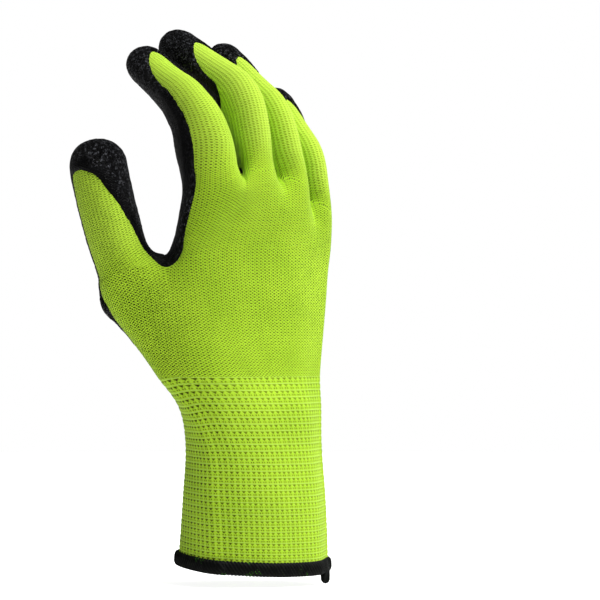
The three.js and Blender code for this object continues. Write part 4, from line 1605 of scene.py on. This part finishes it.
@dataclass
class ThreadTail:
    """The short end of overlock thread that hangs from the hem."""

    length: float = 7.4
    width: float = 4.1
    rows: int = 28
    sides: int = 32

    def build(self, finish: bpy.types.Material) -> bpy.types.Object:
        """A twisted bundle of threads: a round with lobes that turn as it goes down."""
        low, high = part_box("hem_tail")
        low, high = np.array(low) / MM, np.array(high) / MM
        centre = (low + high) / 2
        share = np.linspace(0, 1, self.rows)
        angle = np.linspace(0, 2 * np.pi, self.sides + 1)[:-1]
        lobes = 1 + 0.14 * np.cos(4 * angle[None] + 5.0 * share[:, None])
        end = quarter((1 - share) / 0.25) * quarter((share + 0.05) / 0.1)
        radius = 0.5 * self.width * lobes * end[:, None]
        x = centre[0] + radius * np.cos(angle)[None]
        y = centre[1] + 0.7 * radius * np.sin(angle)[None] - 0.4 * share[:, None]
        z = np.broadcast_to((high[2] + 2.0 - self.length * share)[:, None], x.shape)
        points = np.stack([x, y, z], -1)
        faces = ring_quads(self.rows, self.sides)
        groove = {"groove": np.zeros(x.size)}
        piece = make_object("thread_tail", points.reshape(-1, 3), faces, finish, None, groove)
        settle(piece, Slot.THREAD, "hem_tail")
        return piece


@dataclass(frozen=True)
class Light:
    """A soft light: its way from the back's middle in degrees, and metres and watts."""

    name: str
    azimuth: float
    height: float
    distance: float
    size: float
    power: float


@dataclass
class Studio:
    """A pale floor, soft lights and the camera."""

    lights: tuple[Light, ...] = (
        Light("top_light", 16.0, 2.2, 0.7, 1.0, 42.0),
        Light("key_light", 52.0, 1.7, 1.2, 0.8, 22.0),
        Light("side_light", 80.0, 0.6, 1.6, 0.9, 5.0),
    )
    azimuth: float = -37.0
    elevation: float = 0.0
    distance: float = 2.2
    lens: float = 300.0
    target: tuple[float, float, float] = (0.0172, -0.0130, 0.1166)
    floor: float = -0.0084
    floor_radius: float = 1.9
    # what the floor glows with to the camera and to other things, and the air to those
    floor_glow: float = 0.9
    floor_light: float = 0.1
    air: float = 0.10

    def back(self) -> Vector:
        """The way from the glove to the camera."""
        a, e = math.radians(self.azimuth), math.radians(self.elevation)
        return Vector((math.sin(a) * math.cos(e), -math.cos(a) * math.cos(e), math.sin(e)))

    def lay_floor(self) -> None:
        """A wide round floor: rings of points on circles whose radii grow with the square."""
        ring = np.linspace(0.02, 1, 24)[:, None] ** 2 * self.floor_radius
        angle = np.linspace(0, 2 * np.pi, 73)[:-1][None]
        x, y = ring * np.cos(angle), ring * np.sin(angle)
        points = np.stack([x, y, np.full_like(x, self.floor)], -1).reshape(-1, 3) / MM
        quads = ring_quads(*x.shape)
        hub = len(points)
        points = np.concatenate([points, [[0, 0, self.floor / MM]]])
        inner = np.arange(x.shape[1])
        spokes = np.stack([inner, np.roll(inner, -1), np.full(len(inner), hub)], -1)
        faces = np.concatenate([quads[:, [0, 1, 2]], quads[:, [0, 2, 3]], spokes])
        material, n, shader = new_material("pale_paper")
        shader["Base Color"].default_value = (0.9, 0.9, 0.9, 1)
        shader["Roughness"].default_value = 0.9
        shader["Specular IOR Level"].default_value = 0.1
        shader["Emission Color"].default_value = (1, 1, 1, 1)
        glow = n.ramp(n.camera_ray(), 0.0, 1.0, self.floor_light, self.floor_glow)
        n.put(shader["Emission Strength"], glow)
        make_object("studio_floor", points, faces, material)

    def hang(self, name: str, data: bpy.types.ID, place: Vector, back: Vector) -> bpy.types.Object:
        """A light or a camera at a place, with its back turned a given way."""
        holder = bpy.data.objects.new(name, data)
        holder.location = place
        holder.rotation_euler = back.to_track_quat("Z", "Y").to_euler()
        bpy.context.scene.collection.objects.link(holder)
        return holder

    def light(self, light: Light) -> None:
        """A square soft light that faces the glove."""
        lamp = bpy.data.lights.new(light.name, "AREA")
        lamp.energy = light.power
        lamp.size = light.size
        a = math.radians(light.azimuth)
        place = Vector((math.sin(a) * light.distance, -math.cos(a) * light.distance, light.height))
        self.hang(light.name, lamp, place, place - Vector((0, 0, 0.12)))

    def build(self) -> None:
        """Sets up the floor, the lights, the air's glow and the camera."""
        scene = bpy.context.scene
        self.lay_floor()
        world = bpy.data.worlds.new("studio_air")
        world.use_nodes = True
        n = Nodes(world.node_tree)
        background = world.node_tree.nodes["Background"]
        background.inputs[0].default_value = (1, 1, 1, 1)
        n.put(background.inputs[1], n.camera_ray() * (1.0 - self.air) + self.air)
        scene.world = world
        for light in self.lights:
            self.light(light)
        camera = bpy.data.cameras.new("camera")
        camera.lens = self.lens
        camera.sensor_width = 36.0
        camera.clip_start = 0.05
        camera.clip_end = 50.0
        place = Vector(self.target) + self.back() * self.distance
        scene.camera = self.hang("camera", camera, place, self.back())
        scene.view_settings.view_transform = "Standard"
        scene.view_settings.look = "None"


def main() -> None:
    """Builds the glove piece by piece, then the studio around it."""
    logging.basicConfig(level=logging.INFO, format="%(name)s: %(message)s")
    form = HandForm()
    effects = Effects()
    thread = ThreadFinish().make()
    KnitHand(form).build(KnitFinish().make(effects))
    KnitCuff(form).build(CuffFinish().make())
    LatexCoat(form).build(LatexFinish().make(effects))
    HemBinding(form).build(thread)
    ThreadTail().build(thread)
    Studio().build()


if __name__ == "__main__":
    main()
